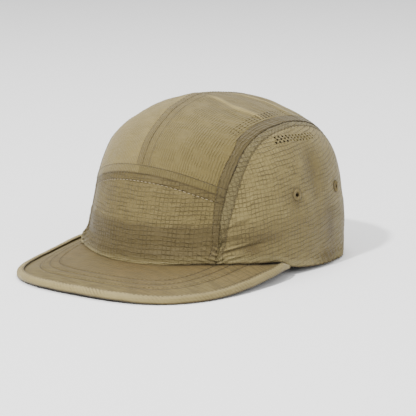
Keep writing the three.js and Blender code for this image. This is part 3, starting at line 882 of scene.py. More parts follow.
def binding_profile():
    """The outside of the folded binding, from its inner edge on the top round the nose to the one below."""
    under = -(BRIM_PLATE + BINDING_RISE)
    middle = (BINDING_RISE + under) / 2
    radius = (BINDING_RISE - under) / 2
    turn = np.linspace(np.pi / 2, -np.pi / 2, 13)
    nose = [(BINDING_NOSE * (1 - math.cos(a)), middle + radius * math.sin(a)) for a in turn]
    lip = 0.0004
    top = [
        (BINDING_TOP - lip * 0.3, BINDING_RISE - 2.6 * lip),
        (BINDING_TOP + lip * 0.2, BINDING_RISE - 1.4 * lip),
        (BINDING_TOP, BINDING_RISE - 0.4 * lip),
        (BINDING_TOP - lip, BINDING_RISE + 0.2 * lip),
        (BINDING_STITCH + lip, BINDING_RISE + 0.2 * lip),
        (BINDING_STITCH, BINDING_RISE - 0.35 * lip),
        (BINDING_STITCH - lip, BINDING_RISE + 0.2 * lip),
        (BINDING_STITCH - 4 * lip, BINDING_RISE + 0.5 * lip),
        (BINDING_NOSE + lip, BINDING_RISE + 0.2 * lip),
    ]
    bottom = [
        (BINDING_NOSE + lip, under),
        (BINDING_STITCH, under),
        (BINDING_UNDER - lip, under),
        (BINDING_UNDER, under + lip),
    ]
    return np.array(top + nose[1:-1] + bottom)


def brim_binding():
    profile = binding_profile()[::-1]
    room = BRIM_WIDTH[:, None] - 0.0003
    points = brim_point(np.minimum(profile[None, :, 0], room), profile[None, :, 1])
    along = np.broadcast_to(arc_lengths(EDGE)[:, None], points.shape[:2])
    around = np.broadcast_to(arc_lengths(profile)[None], points.shape[:2])
    ripple = BINDING_RIPPLE * np.cos(2 * np.pi * (along + around) / 0.0021) + 0.0001 * random_waves(points)
    points[..., 2] += ripple
    uv = np.stack([along, around], -1)
    quads = grid_quads(*points.shape[:2])[:, ::-1]
    piece = make_piece("brim_binding_cloth", points, quads, cloth_uv=uv)
    thicken(piece, BINDING_CLOTH)
    return piece


# Inside
def sweatband():
    angle = np.linspace(-np.pi, np.pi, 420, endpoint=False)
    low = hem_height(angle) + BAND_CLEAR
    share = np.linspace(0, 1, 36)[:, None]
    u = row_at_height(lerp(low[None], SWEATBAND_TOP, share))
    angle = np.broadcast_to(angle, u.shape)
    points = crown_layer(angle, u, BAND_INSET)
    uv = np.stack([level_arc(angle, u, 0.0), height_arc(u, 0.0)], -1)
    quads = grid_quads(*u.shape, wrap=True)
    piece = make_piece("sweatband_knit", points, quads, {"height": np.broadcast_to(share, u.shape)}, uv)
    thicken(piece, SWEATBAND)
    return piece


def tape(name, angle, u, flip=False):
    points = crown_layer(angle, u, TAPE_INSET)
    uv = np.stack([arc_lengths(np.swapaxes(points, 0, 1)).T, arc_lengths(points)], -1)
    quads = grid_quads(*u.shape)
    if flip:
        quads = quads[:, ::-1]
    piece = make_piece(name, points, quads, cloth_uv=uv)
    thicken(piece, TAPE)
    return piece


def turns_above(x_of, height, count):
    """Turns of a line over the crown between its two crossings of a height."""
    turns = np.linspace(0.02, np.pi - 0.001, 500)
    angle, u = over_crown(x_of, turns)
    high = turns[crown_layer(angle, u, fine=0)[:, 2] > height]
    return np.linspace(high[0], high[-1], count)


def arch_tape(side, word):
    offsets = np.linspace(-ARCH_INNER, ARCH_OUTER, 10)
    turns = turns_above(lambda y, z: arch_half(y), TAPE_FOOT, 220)
    offset, turn = np.meshgrid(offsets, turns)
    angle, u = over_crown(lambda y, z: arch_half(y) + offset, turn)
    return tape(f"seam_tape_{word}_cloth", side * angle, u, flip=side < 0)


def front_tape():
    edges = [beyond_front_seam(offset) for offset in (-TAPE_HALF, TAPE_HALF)]
    reach = (ARCH_HALF - ARCH_INNER - 0.0005) / ARCH_HALF
    return tape("seam_tape_front_cloth", *middle_grid(np.linspace(-reach, reach, 110), *edges, 0.001))


def centre_tape():
    def foot(points, angle, turns):
        return crossing(np.where(turns[:, None] > 2, TAPE_FOOT - points[..., 2], -1), turns)

    start = beyond_front_seam(TAPE_HALF + 0.0003)
    reach = TAPE_HALF / ARCH_HALF
    return tape("seam_tape_centre_cloth", *middle_grid(np.linspace(-reach, reach, 11), start, foot, 0.001))


# Eyelets: worked rings of thread
def eyelet(name, side, y, z):
    angle, u = from_side(side, y, z)
    angle = side * np.abs(angle)
    middle = crown_layer(angle, u)
    normal = crown_normal(angle, u)
    right = unit(np.cross(np.array([0.0, 0.0, 1.0]), normal))
    up = np.cross(normal, right)
    count = EYELET_THREADS * 4
    turn = np.linspace(0, 2 * np.pi, count, endpoint=False)[:, None]
    radius = np.array([r for r, h in EYELET_RING])[None]
    height = np.array([h for r, h in EYELET_RING])[None]
    raised = smooth((height + 0.0003) / 0.0006)
    thread = EYELET_RIPPLE * np.cos(EYELET_THREADS * turn) * raised
    radius = radius * (1 + 0.03 * np.cos(EYELET_THREADS * turn + 1.3 * np.sin(5 * turn)) * (radius > 0.0036))
    local = radius[..., None] * (np.cos(turn)[..., None] * right + np.sin(turn)[..., None] * up)
    points = middle + local + (height + thread)[..., None] * normal
    around = np.broadcast_to(turn / (2 * np.pi), points.shape[:2])
    uv = np.stack([around, np.broadcast_to(radius, points.shape[:2])], -1)
    quads = grid_quads(count, len(EYELET_RING))
    closing = quads.reshape(count - 1, -1, 4)
    last = np.stack([closing[-1, :, 3], closing[-1, :, 2], closing[0, :, 1], closing[0, :, 0]], -1)
    quads = np.concatenate([quads, last])
    piece = make_piece(name, points, quads, cloth_uv=uv)
    thicken(piece, 0.0003)
    return piece


# Stitches: short capsules of thread laid along a line on the cloth
def surface_of(pieces):
    """A search tree of the pieces as they look with their modifiers, crown-centred."""
    corners = []
    faces = []
    depsgraph = bpy.context.evaluated_depsgraph_get()
    for piece in pieces:
        mesh = piece.evaluated_get(depsgraph).to_mesh()
        start = len(corners)
        corners += [(v.co.x, v.co.y - CROWN_Y, v.co.z) for v in mesh.vertices]
        faces += [[start + i for i in face.vertices] for face in mesh.polygons]
        piece.evaluated_get(depsgraph).to_mesh_clear()
    return BVHTree.FromPolygons(corners, faces)


def stitches(name, lines, tree, length=0.0022, gap=0.0009, thick=0.00024):
    """Rows of stitches along lines of points, each set on the surface under it."""
    all_points = []
    all_quads = []
    for line in lines:
        arc = arc_lengths(line)
        count = int(arc[-1] / (length + gap))
        middles = (np.arange(count) + 0.5) * arc[-1] / max(count, 1)
        at = lambda s: np.array([np.interp(s, arc, line[:, k]) for k in range(3)])
        for s in middles:
            start, end = at(s - length / 2), at(s + length / 2)
            found = tree.find_nearest((start + end) / 2)
            normal = np.array(found[1])
            middle = np.array(found[0])
            outward = middle - np.array([0, 0, 0.02])
            if normal @ outward < 0:
                normal = -normal
            ahead = unit(end - start)
            aside = np.cross(normal, ahead)
            first = len(all_points) * STITCH_SIDES
            for along, size, height in STITCH_RINGS:
                turn = np.linspace(0, 2 * np.pi, STITCH_SIDES, endpoint=False)[:, None]
                ring = thick * size * (np.cos(turn) * aside + np.sin(turn) * normal)
                all_points.append(middle + ahead * along * length / 2 + normal * thick * height + ring)
            rings = len(STITCH_RINGS)
            all_quads.append(grid_quads(rings, STITCH_SIDES, wrap=True) + first)
    points = np.concatenate(all_points)
    quads = np.concatenate(all_quads)
    return make_piece(name, points, quads)


def crown_line(x_of, turns, side):
    angle, u = over_crown(x_of, turns)
    return crown_layer(side * angle, u)


def arch_lines(side):
    inner = lambda y, z: arch_half(y) - 0.93 * arch_inner(z)
    outer = lambda y, z: arch_half(y) + ARCH_OUTER - ROW_INSET
    return [crown_line(x_of, turns_above(x_of, 0.016, 400), side) for x_of in (inner, outer)]


def front_lines():
    lines = []
    for offset in (-FRONT_BAND + ROW_INSET, FRONT_BAND - ROW_INSET):
        x = np.linspace(-ARCH_HALF + 0.0045, ARCH_HALF - 0.0045, 160)
        z = front_seam(x) + offset
        y = -first_outside(lambda reach: (x, -reach, z), np.zeros_like(x), np.full_like(x, 0.2))
        lines.append(crown_layer(*place_of(x, y, z)))
    return lines


def centre_lines():
    lines = []
    for x in (CENTRE_X - CENTRE_HALF, CENTRE_X + CENTRE_HALF):
        turns = np.linspace(0.05, np.pi - 0.05, 500)
        points = crown_line(lambda y, z: np.full_like(y, abs(x)), turns, math.copysign(1, x))
        free = (points[:, 1] > 0) | (points[:, 2] > front_seam(points[:, 0]) + FRONT_BAND)
        lines.append(points[free])
    return lines


def brim_lines():
    """The stitch rows of the brim, at constant distances from its edge."""
    tangent = unit(np.gradient(EDGE, axis=0))
    inward = np.stack([-tangent[:, 1], tangent[:, 0]], -1)
    lines = []
    for row in BRIM_STITCHES:
        flat = EDGE + inward * row
        z = table_value(BRIM_ROOT, flat[:, 1])
        outside = ~is_inside(flat[:, 0], flat[:, 1], np.full(len(flat), 0.020)) & (flat[:, 1] < BRIM_ROOT_Y)
        outside &= np.linalg.norm(flat, axis=1) > 0.07
        points = np.concatenate([flat, z[:, None]], -1)
        lines.append(points[outside])
    return lines


def binding_lines():
    points = brim_point(np.full((len(EDGE), 1), BINDING_STITCH), BINDING_RISE)[:, 0]
    return [points[BRIM_WIDTH > BINDING_TOP + 0.001]]


def hem_lines():
    angle = np.linspace(1.92, 2 * np.pi - 1.92, 500)
    z = hem_height(angle) + 0.0055
    return [crown_layer(angle, row_at_height(z))]


# Materials
class Graph:
    """A material's node tree, with short calls for its nodes."""

    def __init__(self, name):
        self.material = bpy.data.materials.new(name)
        self.material.use_nodes = True
        self.tree = self.material.node_tree
        self.shader = self.tree.nodes["Principled BSDF"]

    def new(self, kind, *inputs, **settings):
        node = self.tree.nodes.new(kind)
        for key, value in settings.items():
            setattr(node, key, value)
        for socket, value in zip(node.inputs, inputs):
            self.feed(socket, value)
        return node

    def feed(self, socket, value):
        if isinstance(value, bpy.types.NodeSocket):
            self.tree.links.new(value, socket)
        elif value is not None:
            socket.default_value = value

    def math(self, operation, *values):
        total = values[0]
        for value in values[1:]:
            total = self.new("ShaderNodeMath", total, value, operation=operation).outputs[0]
        return total

    def plus(self, *values):
        return self.math("ADD", *values)

    def minus(self, *values):
        return self.math("SUBTRACT", *values)

    def times(self, *values):
        return self.math("MULTIPLY", *values)

    def most(self, *values):
        return self.math("MAXIMUM", *values)

    def size(self, value):
        return self.new("ShaderNodeMath", value, operation="ABSOLUTE").outputs[0]

    def wave(self, value, pitch):
        turn = self.times(value, 2 * math.pi / pitch)
        return self.new("ShaderNodeMath", turn, operation="SINE").outputs[0]

    def number(self, name):
        return self.new("ShaderNodeAttribute", attribute_name=name).outputs["Fac"]

    def step(self, value, low, high):
        """0 below low, 1 above high and smooth between them, or the other way round."""
        node = self.new("ShaderNodeMapRange", value, low, high, 0.0, 1.0, interpolation_type="SMOOTHSTEP")
        return node.outputs[0]

    def near(self, value, middle, half):
        """1 where value is middle, falling to 0 at half away from it."""
        return self.step(self.size(self.minus(value, middle)), half, 0.0)

    def between(self, value, low, high, soft):
        rising = self.step(value, low - soft, low + soft)
        return self.times(rising, self.step(value, high + soft, high - soft))

    def line_set(self, value, pitch, half):
        """1 on each of a set of lines a pitch apart, falling to 0 at half away from it."""
        return self.near(self.math("PINGPONG", value, pitch / 2), 0.0, half)

    def noise(self, vector, scale, detail=2.0, rough=0.5):
        node = self.new("ShaderNodeTexNoise", vector)
        node.inputs["Scale"].default_value = scale
        node.inputs["Detail"].default_value = detail
        node.inputs["Roughness"].default_value = rough
        return node.outputs[0]

    def waver(self, vector, scale, width):
        """Soft random values round 0."""
        return self.times(self.minus(self.noise(vector, scale), 0.5), width)

    def stretched(self, vector, share, turn=0.0):
        node = self.new("ShaderNodeMapping", vector)
        node.inputs["Scale"].default_value = (share, 1.0, 1.0)
        node.inputs["Rotation"].default_value = (0, 0, turn)
        return node.outputs[0]

    def mix(self, factor, a, b):
        node = self.new("ShaderNodeMix", data_type="RGBA")
        self.feed(node.inputs["Factor"], factor)
        self.feed(node.inputs["A"], a)
        self.feed(node.inputs["B"], b)
        return node.outputs["Result"]

    def relief(self, *layers):
        """The normal over bumps: height and distance of each and, where it isn't 1, its strength."""
        normal = None
        for height, distance, *strength in layers:
            node = self.new("ShaderNodeBump")
            node.inputs["Strength"].default_value = strength[0] if strength else 1.0
            node.inputs["Distance"].default_value = distance
            self.feed(node.inputs["Height"], height)
            self.feed(node.inputs["Normal"], normal)
            normal = node.outputs[0]
        return normal

    def axes(self, vector):
        return list(self.new("ShaderNodeSeparateXYZ", vector).outputs)

    def place(self):
        return self.new("ShaderNodeTexCoord").outputs["Object"]

    def cloth_uv(self):
        uv = self.new("ShaderNodeUVMap", uv_map="cloth").outputs[0]
        return uv, *self.axes(uv)[:2]


def shade(colour, r, g, b):
    return (colour[0] * r, colour[1] * g, colour[2] * b, 1)


def tan(r, g, b):
    return shade(TAN, r, g, b)[:3]


class Paint:
    """A cloth's colour: two shades mixed by a mask, or one, and layers that turn it to others."""

    def __init__(self, graph, colour, mask=None, low=None, high=None):
        self.graph = graph
        self.colour = colour
        self.base = (*colour, 1)
        if mask is not None:
            self.base = graph.mix(mask, shade(colour, *low), shade(colour, *high))

    def layer(self, mask, share, tint, colour=None):
        """Turns the colour by a share of the mask to a shade of the cloth's colour or another."""
        factor = mask if share == 1 else self.graph.times(mask, share)
        self.base = self.graph.mix(factor, self.base, shade(colour or self.colour, *tint))

    def finish(self, normal, roughness=0.6, sheen=0.08):
        shader = self.graph.shader
        self.graph.feed(shader.inputs["Base Color"], self.base)
        self.graph.feed(shader.inputs["Normal"], normal)
        shader.inputs["Roughness"].default_value = roughness
        shader.inputs["Specular IOR Level"].default_value = CLOTH_SPECULAR
        shader.inputs["Sheen Weight"].default_value = sheen
        shader.inputs["Sheen Roughness"].default_value = SHEEN_ROUGHNESS
        shader.inputs["Sheen Tint"].default_value = SHEEN_TINT
        return self.graph.material


def seam_layers(graph, paint, height, uv, band_depth):
    """Darker zones of the crown's cloth, where tape, seam edges or the sweatband lie under it."""
    arch = graph.number("arch")
    front = graph.number("front")
    centre = graph.number("centre")
    inside_arch = graph.between(arch, -ARCH_INNER, 0.0, 0.00015)
    outside_arch = graph.between(arch, 0.0, ARCH_OUTER, 0.0003)
    free = graph.step(arch, -ARCH_INNER, -ARCH_INNER - 0.0003)
    on_front = graph.times(graph.between(front, -FRONT_BAND, FRONT_BAND, 0.0002), free)
    lower_front = graph.times(on_front, graph.step(front, 0.0012, -0.0012))
    past_front = graph.step(front, FRONT_BAND - 0.0003, FRONT_BAND + 0.0003)
    strip = graph.times(graph.between(centre, -CENTRE_HALF, CENTRE_HALF, 0.0002), past_front)
    taped = graph.times(graph.between(centre, CENTRE_HALF, CENTRE_TAPE, 0.0003), past_front)
    slanted = graph.plus(graph.axes(uv)[1], graph.times(arch, 1.3))
    ticks = graph.step(graph.math("PINGPONG", slanted, 0.0013), 0.0007, 0.0)
    edge = graph.plus(height, graph.waver(uv, 120.0, 0.006))
    band = graph.step(edge, SWEATBAND_TOP + 0.0018, SWEATBAND_TOP - 0.0018)
    above_hem = graph.plus(graph.times(graph.step(height, 0.008, 0.017), 0.7), 0.3)
    paint.layer(on_front, 0.9, (0.74, 0.73, 0.72))
    paint.layer(lower_front, 0.9, (0.58, 0.56, 0.52), TAN)
    paint.layer(inside_arch, 0.94, (0.47, 0.46, 0.46), TAN)
    paint.layer(outside_arch, 0.80, (0.62, 0.64, 0.74))
    paint.layer(graph.times(ticks, outside_arch), 0.5, (0.34, 0.33, 0.36))
    paint.layer(strip, 0.9, (0.72, 0.71, 0.72), TAN)
    paint.layer(taped, 0.7, (0.80, 0.79, 0.78), TAN)
    paint.layer(graph.times(band, above_hem), band_depth, (0.55, 0.52, 0.50))


def seam_lines(graph, height):
    """The seam lines and, apart from them, the dips of the stitch rows, masks for painted shade."""
    arch = graph.number("arch")
    front = graph.number("front")
    centre = graph.number("centre")
    high = graph.step(height, 0.040, 0.070)
    crisp = graph.times(graph.near(arch, 0.0001, 0.00042), graph.plus(graph.times(high, 0.50), 0.40))
    soft = graph.times(graph.near(front, -0.0004, 0.0012), 0.45)
    past_front = graph.step(front, FRONT_BAND - 0.0003, FRONT_BAND + 0.0003)
    beside = graph.most(
        graph.near(graph.size(centre), CENTRE_HALF, ROW_HALF),
        graph.times(graph.near(centre, CENTRE_TAPE, ROW_HALF), 0.6),
    )
    rows = graph.most(
        graph.near(arch, -0.95 * ARCH_INNER, ROW_HALF),
        graph.times(graph.near(arch, ARCH_OUTER - ROW_INSET, ROW_HALF), 0.6),
        graph.near(graph.size(front), FRONT_BAND - ROW_INSET, ROW_HALF),
        graph.times(beside, past_front),
    )
    return graph.most(crisp, soft), rows


def shaded_foot(graph, place):
    """Strength of the painted shade at the crown's foot against the brim: high on the wearer's left and
    behind.
    """
    x, y = graph.axes(place)[:2]
    left = graph.step(x, 0.020, 0.052)
    behind = graph.step(y, -0.030, 0.0)
    return graph.times(graph.most(left, behind), 0.75)


def crown_cloth(name, colour, ripstop, band_depth, line_depth, ridge_highlight, sheen=0.08):
    graph = Graph(name)
    uv, across, up = graph.cloth_uv()
    place = graph.place()
    height = graph.axes(place)[2]

    # weave, as dark thin lines that waver and fade
    shift = graph.waver(uv, 260.0, 0.0014)
    strength = graph.step(graph.noise(uv, 110.0), 0.25, 0.62)
    if ripstop:
        sway = graph.waver(uv, 50.0, 0.004)
        level = graph.line_set(graph.plus(up, shift, sway), RIPSTOP, 0.00056)
        upright = graph.line_set(graph.plus(across, shift), RIPSTOP, 0.00050)
        lines = graph.most(level, graph.times(upright, 0.8))
        lines = graph.times(lines, graph.plus(graph.times(strength, 0.75), 0.25))
        rough = 0.6
    else:
        lines = graph.times(graph.line_set(graph.plus(across, shift), TOP_RIB, 0.00045), strength)
        rough = 0.2
    streaks = graph.stretched(uv, 0.35)
    crinkle = graph.noise(streaks, 520.0, 4.0, 0.65)
    ripple = graph.noise(streaks, 170.0)

    # colour
    soft = graph.noise(place, 16.0, 3.0)
    mottle = graph.noise(streaks, 420.0, 3.0, 0.6)
    fleck = graph.noise(uv, 1000.0, 2.0, 0.6)
    paint = Paint(graph, colour, graph.step(soft, 0.38, 0.62), (0.92, 0.91, 0.90), (1.06, 1.06, 1.06))
    paint.layer(graph.step(fleck, 0.46, 0.34), rough, (0.45, 0.42, 0.40))
    paint.layer(graph.step(mottle, 0.44, 0.30), rough, (0.45, 0.42, 0.40))
    paint.layer(graph.step(mottle, 0.55, 0.70), rough, (1.35, 1.38, 1.45))
    seam_layers(graph, paint, height, uv, band_depth)
    paint.layer(lines, line_depth, (0.34, 0.31, 0.28))
    fold = graph.number("fold")
    # Painted highlight on the folds' ridges and painted shade in their hollows
    paint.layer(graph.step(fold, 0.1, 1.1), 0.65, (ridge_highlight, ridge_highlight, 1.1 * ridge_highlight))
    paint.layer(graph.step(fold, -0.1, -1.3), 0.7, (0.36, 0.33, 0.30))
    seams, rows = seam_lines(graph, height)
    # Painted shade in the stitch rows' dips and the seam lines
    paint.layer(rows, 0.82, (0.34, 0.30, 0.26))
    paint.layer(seams, 1, (0.20, 0.16, 0.12))
    low = graph.number("low")
    shaded = shaded_foot(graph, place)
    lit = graph.times(graph.minus(1.0, shaded), 0.8)
    # Painted highlight along the crown's foot, brightest at its edge where it is not shaded, and painted
    # shade at the foot against the brim
    paint.layer(graph.near(low, 0.0032, 0.0026), 0.5, (1.30, 1.36, 1.62))
    paint.layer(graph.near(low, 0.0010, 0.0020), lit, (1.75, 1.85, 2.3))
    paint.layer(graph.step(low, 0.0013, 0.0004), shaded, (0.30, 0.26, 0.22))
    # Painted shade where the side panels turn inwards
    paint.layer(graph.number("shade_patch"), 0.9, (0.36, 0.32, 0.28))
    # Painted shade on the holes' rims, for the dark inside seen through them
    rim = graph.step(graph.number("hole"), HOLE_RADIUS + 0.0004, HOLE_RADIUS - 0.0001)
    paint.layer(rim, graph.number("hole_shade"), (0.06, 0.05, 0.04))
    paint.layer(graph.near(graph.number("eyelet"), 0.0047, 0.0009), 0.6, (0.35, 0.32, 0.30))

    dips = graph.minus(1.0, graph.most(rows, seams))
    bumps = ((ripple, 0.0012), (crinkle, 0.00055), (lines, 0.00035), (dips, 0.00030))
    return paint.finish(graph.relief(*bumps), sheen=sheen)


def brim_cloth(name, colour):
    graph = Graph(name)
    uv, across, along = graph.cloth_uv()
    place = graph.place()
    edge = graph.number("edge")
    rows = graph.most(*(graph.near(edge, row, ROW_HALF) for row in BRIM_STITCHES))
    shift = graph.waver(uv, 200.0, 0.0009)
    level = graph.line_set(graph.plus(along, shift), RIPSTOP, 0.0005)
    upright = graph.line_set(graph.plus(across, shift), RIPSTOP, 0.0005)
    lines = graph.times(graph.most(level, upright), graph.step(graph.noise(uv, 40.0), 0.30, 0.60))
    groove_shade = graph.step(edge, BINDING_TOP + 0.0012, BINDING_TOP + 0.0004)
    crinkle = graph.noise(uv, 500.0, 3.0)
    ribs = graph.noise(graph.stretched(uv, 0.15, 0.25), 560.0)
    root = graph.step(graph.number("root"), BRIM_TUCK + 0.0030, BRIM_TUCK)
    paint = Paint(graph, colour, graph.step(edge, 0.010, 0.034), (1.05, 1.07, 1.06), (0.88, 0.84, 0.78))
    paint.layer(graph.step(graph.noise(place, 12.0), 0.42, 0.66), 0.5, (1.02, 0.86, 0.84))
    paint.layer(graph.step(crinkle, 0.5, 0.3), 0.3, (0.6, 0.57, 0.55))
    paint.layer(lines, 0.4, (0.5, 0.46, 0.42))
    paint.layer(graph.step(ribs, 0.56, 0.40), 0.7, (0.60, 0.58, 0.56))
    # Painted shade in the stitch rows' dips
    paint.layer(rows, 0.95, (0.32, 0.28, 0.23))
    # Painted shade in the groove along the binding's inner edge
    paint.layer(groove_shade, 0.35, (0.14, 0.12, 0.09))
    # Painted shade on the brim along its root under the crown
    paint.layer(root, graph.plus(shaded_foot(graph, place), 0.15), (0.30, 0.26, 0.22))
    threads = graph.plus(graph.wave(across, THREAD_PITCH), graph.wave(along, THREAD_PITCH))
    dips = graph.minus(1.0, rows)
    bumps = ((crinkle, 0.00022), (lines, 0.00010), (threads, 0.00001, 0.6), (dips, 0.00025))
    return paint.finish(graph.relief(*bumps))


def binding_cloth(name, colour):
    """Cloth cut on the bias, so its threads run slantwise round the edge."""
    graph = Graph(name)
    uv, along, around = graph.cloth_uv()
    shift = graph.waver(uv, 220.0, 0.0009)
    ribs = graph.line_set(graph.plus(along, around, shift), BINDING_RIB, 0.0009)
    cross = graph.line_set(graph.plus(graph.minus(along, around), shift), BINDING_RIB, 0.0005)
    strength = graph.step(graph.noise(uv, 60.0), 0.3, 0.7)
    lines = graph.times(graph.most(ribs, graph.times(cross, 0.35)), strength)
    place = graph.place()
    soft = graph.step(graph.noise(place, 16.0), 0.3, 0.7)
    width = arc_lengths(binding_profile())[-1]
    paint = Paint(graph, colour, soft, (0.95, 0.95, 0.95), (1.05, 1.05, 1.05))
    # Painted shade: darker towards the wearer's left, on the underside and lower nose against the floor, and
    # on the inner lip
    paint.layer(graph.step(graph.axes(place)[0], 0.030, 0.085), 0.8, (0.74, 0.73, 0.68))
    paint.layer(lines, 0.8, (0.52, 0.49, 0.45))
    paint.layer(graph.step(around, 0.0080, 0.0058), 0.95, (0.12, 0.10, 0.08))
    paint.layer(graph.step(around, width - 0.0020, width - 0.0012), 0.9, (0.12, 0.10, 0.08))
    crinkle = graph.noise(uv, 480.0, 3.0)
    return paint.finish(graph.relief((crinkle, 0.00018), (lines, 0.00016)), sheen=0.12)


def tape_cloth(name, colour):
    graph = Graph(name)
    uv, across, along = graph.cloth_uv()
    ribs = graph.line_set(along, 0.0009, 0.0004)
    threads = graph.line_set(across, 0.0006, 0.0003)
    paint = Paint(graph, colour)
    paint.layer(ribs, 0.4, (0.6, 0.58, 0.55))
    paint.layer(graph.noise(uv, 600.0), 0.2, (1.25, 1.25, 1.25))
    return paint.finish(graph.relief((graph.most(ribs, threads), 0.00012)), roughness=0.8, sheen=0.06)


def knit_cloth(name, colour):
    """Knitted cloth: rows of small V loops."""
    graph = Graph(name)
    uv, across, up = graph.cloth_uv()
    column = graph.math("PINGPONG", across, 0.0008)
    loops = graph.line_set(graph.plus(up, graph.times(column, 1.1)), 0.0013, 0.0006)
    gaps = graph.near(column, 0.0, 0.00025)
    height = graph.number("height")
    hem = graph.most(graph.near(height, 0.93, 0.02), graph.near(height, 0.10, 0.02))
    paint = Paint(graph, colour)
    paint.layer(loops, 0.35, (0.62, 0.6, 0.56))
    paint.layer(gaps, 0.4, (0.5, 0.48, 0.45))
    paint.layer(hem, 0.5, (0.5, 0.48, 0.45))
    paint.layer(graph.noise(uv, 90.0), 0.25, (1.2, 1.2, 1.2))
    relief = graph.minus(1.0, graph.most(loops, gaps, hem))
    return paint.finish(graph.relief((relief, 0.0002)), roughness=0.85, sheen=0.1)


def thread_material(name, colour):
    graph = Graph(name)
    place = graph.place()
    twist = graph.noise(place, 2400.0)
    tone = graph.step(graph.noise(place, 180.0, 1.0), 0.35, 0.65)
    paint = Paint(graph, colour, tone, (0.86, 0.86, 0.84), (1.12, 1.12, 1.12))
    paint.layer(graph.step(twist, 0.4, 0.6), 0.3, (0.62, 0.6, 0.55))
    return paint.finish(graph.relief((twist, 0.00006)), roughness=0.5, sheen=0.1)


def eyelet_material(name, colour):
    """Thread laid outwards round a hole, with painted shade where it dips into the cloth and the hole."""
    graph = Graph(name)
    around, radius = graph.cloth_uv()[1:]
    threads = graph.math("PINGPONG", graph.times(around, EYELET_THREADS), 0.5)
    rim = graph.most(graph.step(radius, 0.0034, 0.0042), graph.step(radius, 0.0019, 0.0013))
    paint = Paint(graph, colour)
    paint.layer(graph.step(threads, 0.35, 0.0), 0.5, (0.5, 0.46, 0.42))
    # Painted shade at the ring's outer and inner edges
    paint.layer(rim, 0.85, (0.25, 0.21, 0.17))
    return paint.finish(graph.relief((threads, 0.0001)), roughness=0.5, sheen=0.1)


def dress(piece, node, material):
    piece.data.materials.append(material)
    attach(piece, "root")
    if node:
        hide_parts(node)
    return piece


# Camera
def make_camera():
    az, el = CAMERA_AZIMUTH, CAMERA_ELEVATION
    back = Vector((math.sin(az) * math.cos(el), -math.cos(az) * math.cos(el), math.sin(el)))
    right = Vector((math.cos(az), math.sin(az), 0))
    up = back.cross(right)
    middle = Vector((0, CROWN_Y, CAMERA_FOOT))
    data = bpy.data.cameras.new("camera")
    data.lens = CAMERA_LENS
    data.sensor_width = 36
    camera = bpy.data.objects.new("camera", data)
    bpy.context.scene.collection.objects.link(camera)
    camera.location = middle + back * CAMERA_DISTANCE
    target = middle + right * CAMERA_RIGHT + up * CAMERA_UP
    camera.rotation_euler = (target - camera.location).to_track_quat("-Z", "Y").to_euler()
    bpy.context.scene.camera = camera


def make_floor():
    mesh = bpy.data.meshes.new("floor")
    size = 4.0
    corners = [(-size, -size, 0), (size, -size, 0), (size, size, 0), (-size, size, 0)]
    mesh.from_pydata(corners, [], [(0, 1, 2, 3)])
    floor = bpy.data.objects.new("floor", mesh)
    bpy.context.scene.collection.objects.link(floor)
    material = bpy.data.materials.new("floor")
    material.use_nodes = True
    shader = material.node_tree.nodes["Principled BSDF"]
    shader.inputs["Base Color"].default_value = (0.93, 0.93, 0.93, 1)
    shader.inputs["Roughness"].default_value = 0.9
    mesh.materials.append(material)


def area_light(name, position, size, power, colour=(1, 1, 1)):
    data = bpy.data.lights.new(name, "AREA")
    data.shape = "DISK"
    data.size = size
    data.energy = power
    data.color = colour
    light = bpy.data.objects.new(name, data)
    bpy.context.scene.collection.objects.link(light)
    light.location = position
    light.rotation_euler = (Vector((0, 0, 0.05)) - light.location).to_track_quat("-Z", "Y").to_euler()


def make_lights():
    world = bpy.data.worlds.new("studio")
    world.use_nodes = True
    world.node_tree.nodes["Background"].inputs["Color"].default_value = (1, 1, 1, 1)
    world.node_tree.nodes["Background"].inputs["Strength"].default_value = 0.85
    bpy.context.scene.world = world
    area_light("key", (-0.10, -1.41, 1.69), 0.16, 66)
    area_light("above", (-0.3, 0.6, 1.9), 1.0, 34)
    area_light("fill", (1.5, -0.3, 0.9), 1.2, 8)


make_camera()
make_floor()
make_lights()

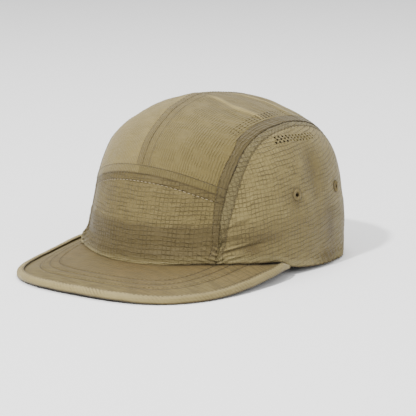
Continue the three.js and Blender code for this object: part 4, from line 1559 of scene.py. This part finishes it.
# The crown's one tan cloth in lighter and darker copies, painted light and shade: the front darker, the
# sides lighter and greyer, the top on the wearer's right lighter and greyer for the sheen of its nap, and
# the top on the wearer's left with the strongest painted highlight on its fold ridges
front_cloth = crown_cloth("front_cloth", tan(0.82, 0.82, 0.82), True, 0.8, 0.62, 1.3)
side_cloth = crown_cloth("side_cloth", tan(1.18, 1.22, 1.32), True, 0.50, 0.9, 1.35)
top_cloths = {
    "left": crown_cloth("top_cloth_left", tan(0.88, 0.88, 0.78), False, 0.45, 0.22, 2.2, 0.14),
    "right": crown_cloth("top_cloth_right", tan(1.24, 1.26, 1.26), False, 0.45, 0.22, 1.3, 0.14),
}
tapes = tape_cloth("tape_cloth", (0.105, 0.078, 0.030))
thread = thread_material("thread", (0.100, 0.076, 0.032))
pale_thread = thread_material("pale_thread", (0.26, 0.21, 0.12))
eyelet_thread = eyelet_material("eyelet_thread", tan(1.05, 1.05, 1.15))

panels = [dress(front_panel(), "front_panel", front_cloth)]
for word, side in (("left", 1), ("right", -1)):
    panels.append(dress(top_panel(side, word), f"top_panel_{word}", top_cloths[word]))
    panels.append(dress(side_panel(side, word), f"side_panel_{word}", side_cloth))
    dress(arch_tape(side, word), f"seam_tape_{word}", tapes)
    for which, y, z in EYELETS:
        piece = eyelet(f"eyelet_{which}_{word}_thread", side, y, z)
        dress(piece, f"eyelet_{which}_{word}", eyelet_thread)
dress(front_tape(), "seam_tape_front", tapes)
dress(centre_tape(), "seam_tape_centre", tapes)
dress(sweatband(), "sweatband", knit_cloth("sweatband_cloth", (0.095, 0.071, 0.028)))
plate = dress(brim_plate(), "brim", brim_cloth("brim_cloth", tan(0.74, 0.72, 0.65)))
bias_cloth = binding_cloth("binding_cloth", tan(1.55, 1.62, 1.95))
binding = dress(brim_binding(), "brim_binding", bias_cloth)

crown_tree = surface_of(panels)
seams = arch_lines(1) + arch_lines(-1) + front_lines()[1:] + centre_lines() + hem_lines()
dress(stitches("crown_stitches", seams, crown_tree), None, thread)
dress(stitches("front_stitches", front_lines()[:1], crown_tree, thick=0.0003), None, pale_thread)
brim_tree = surface_of([plate, binding])
dress(stitches("brim_stitches", brim_lines() + binding_lines(), brim_tree), None, thread)
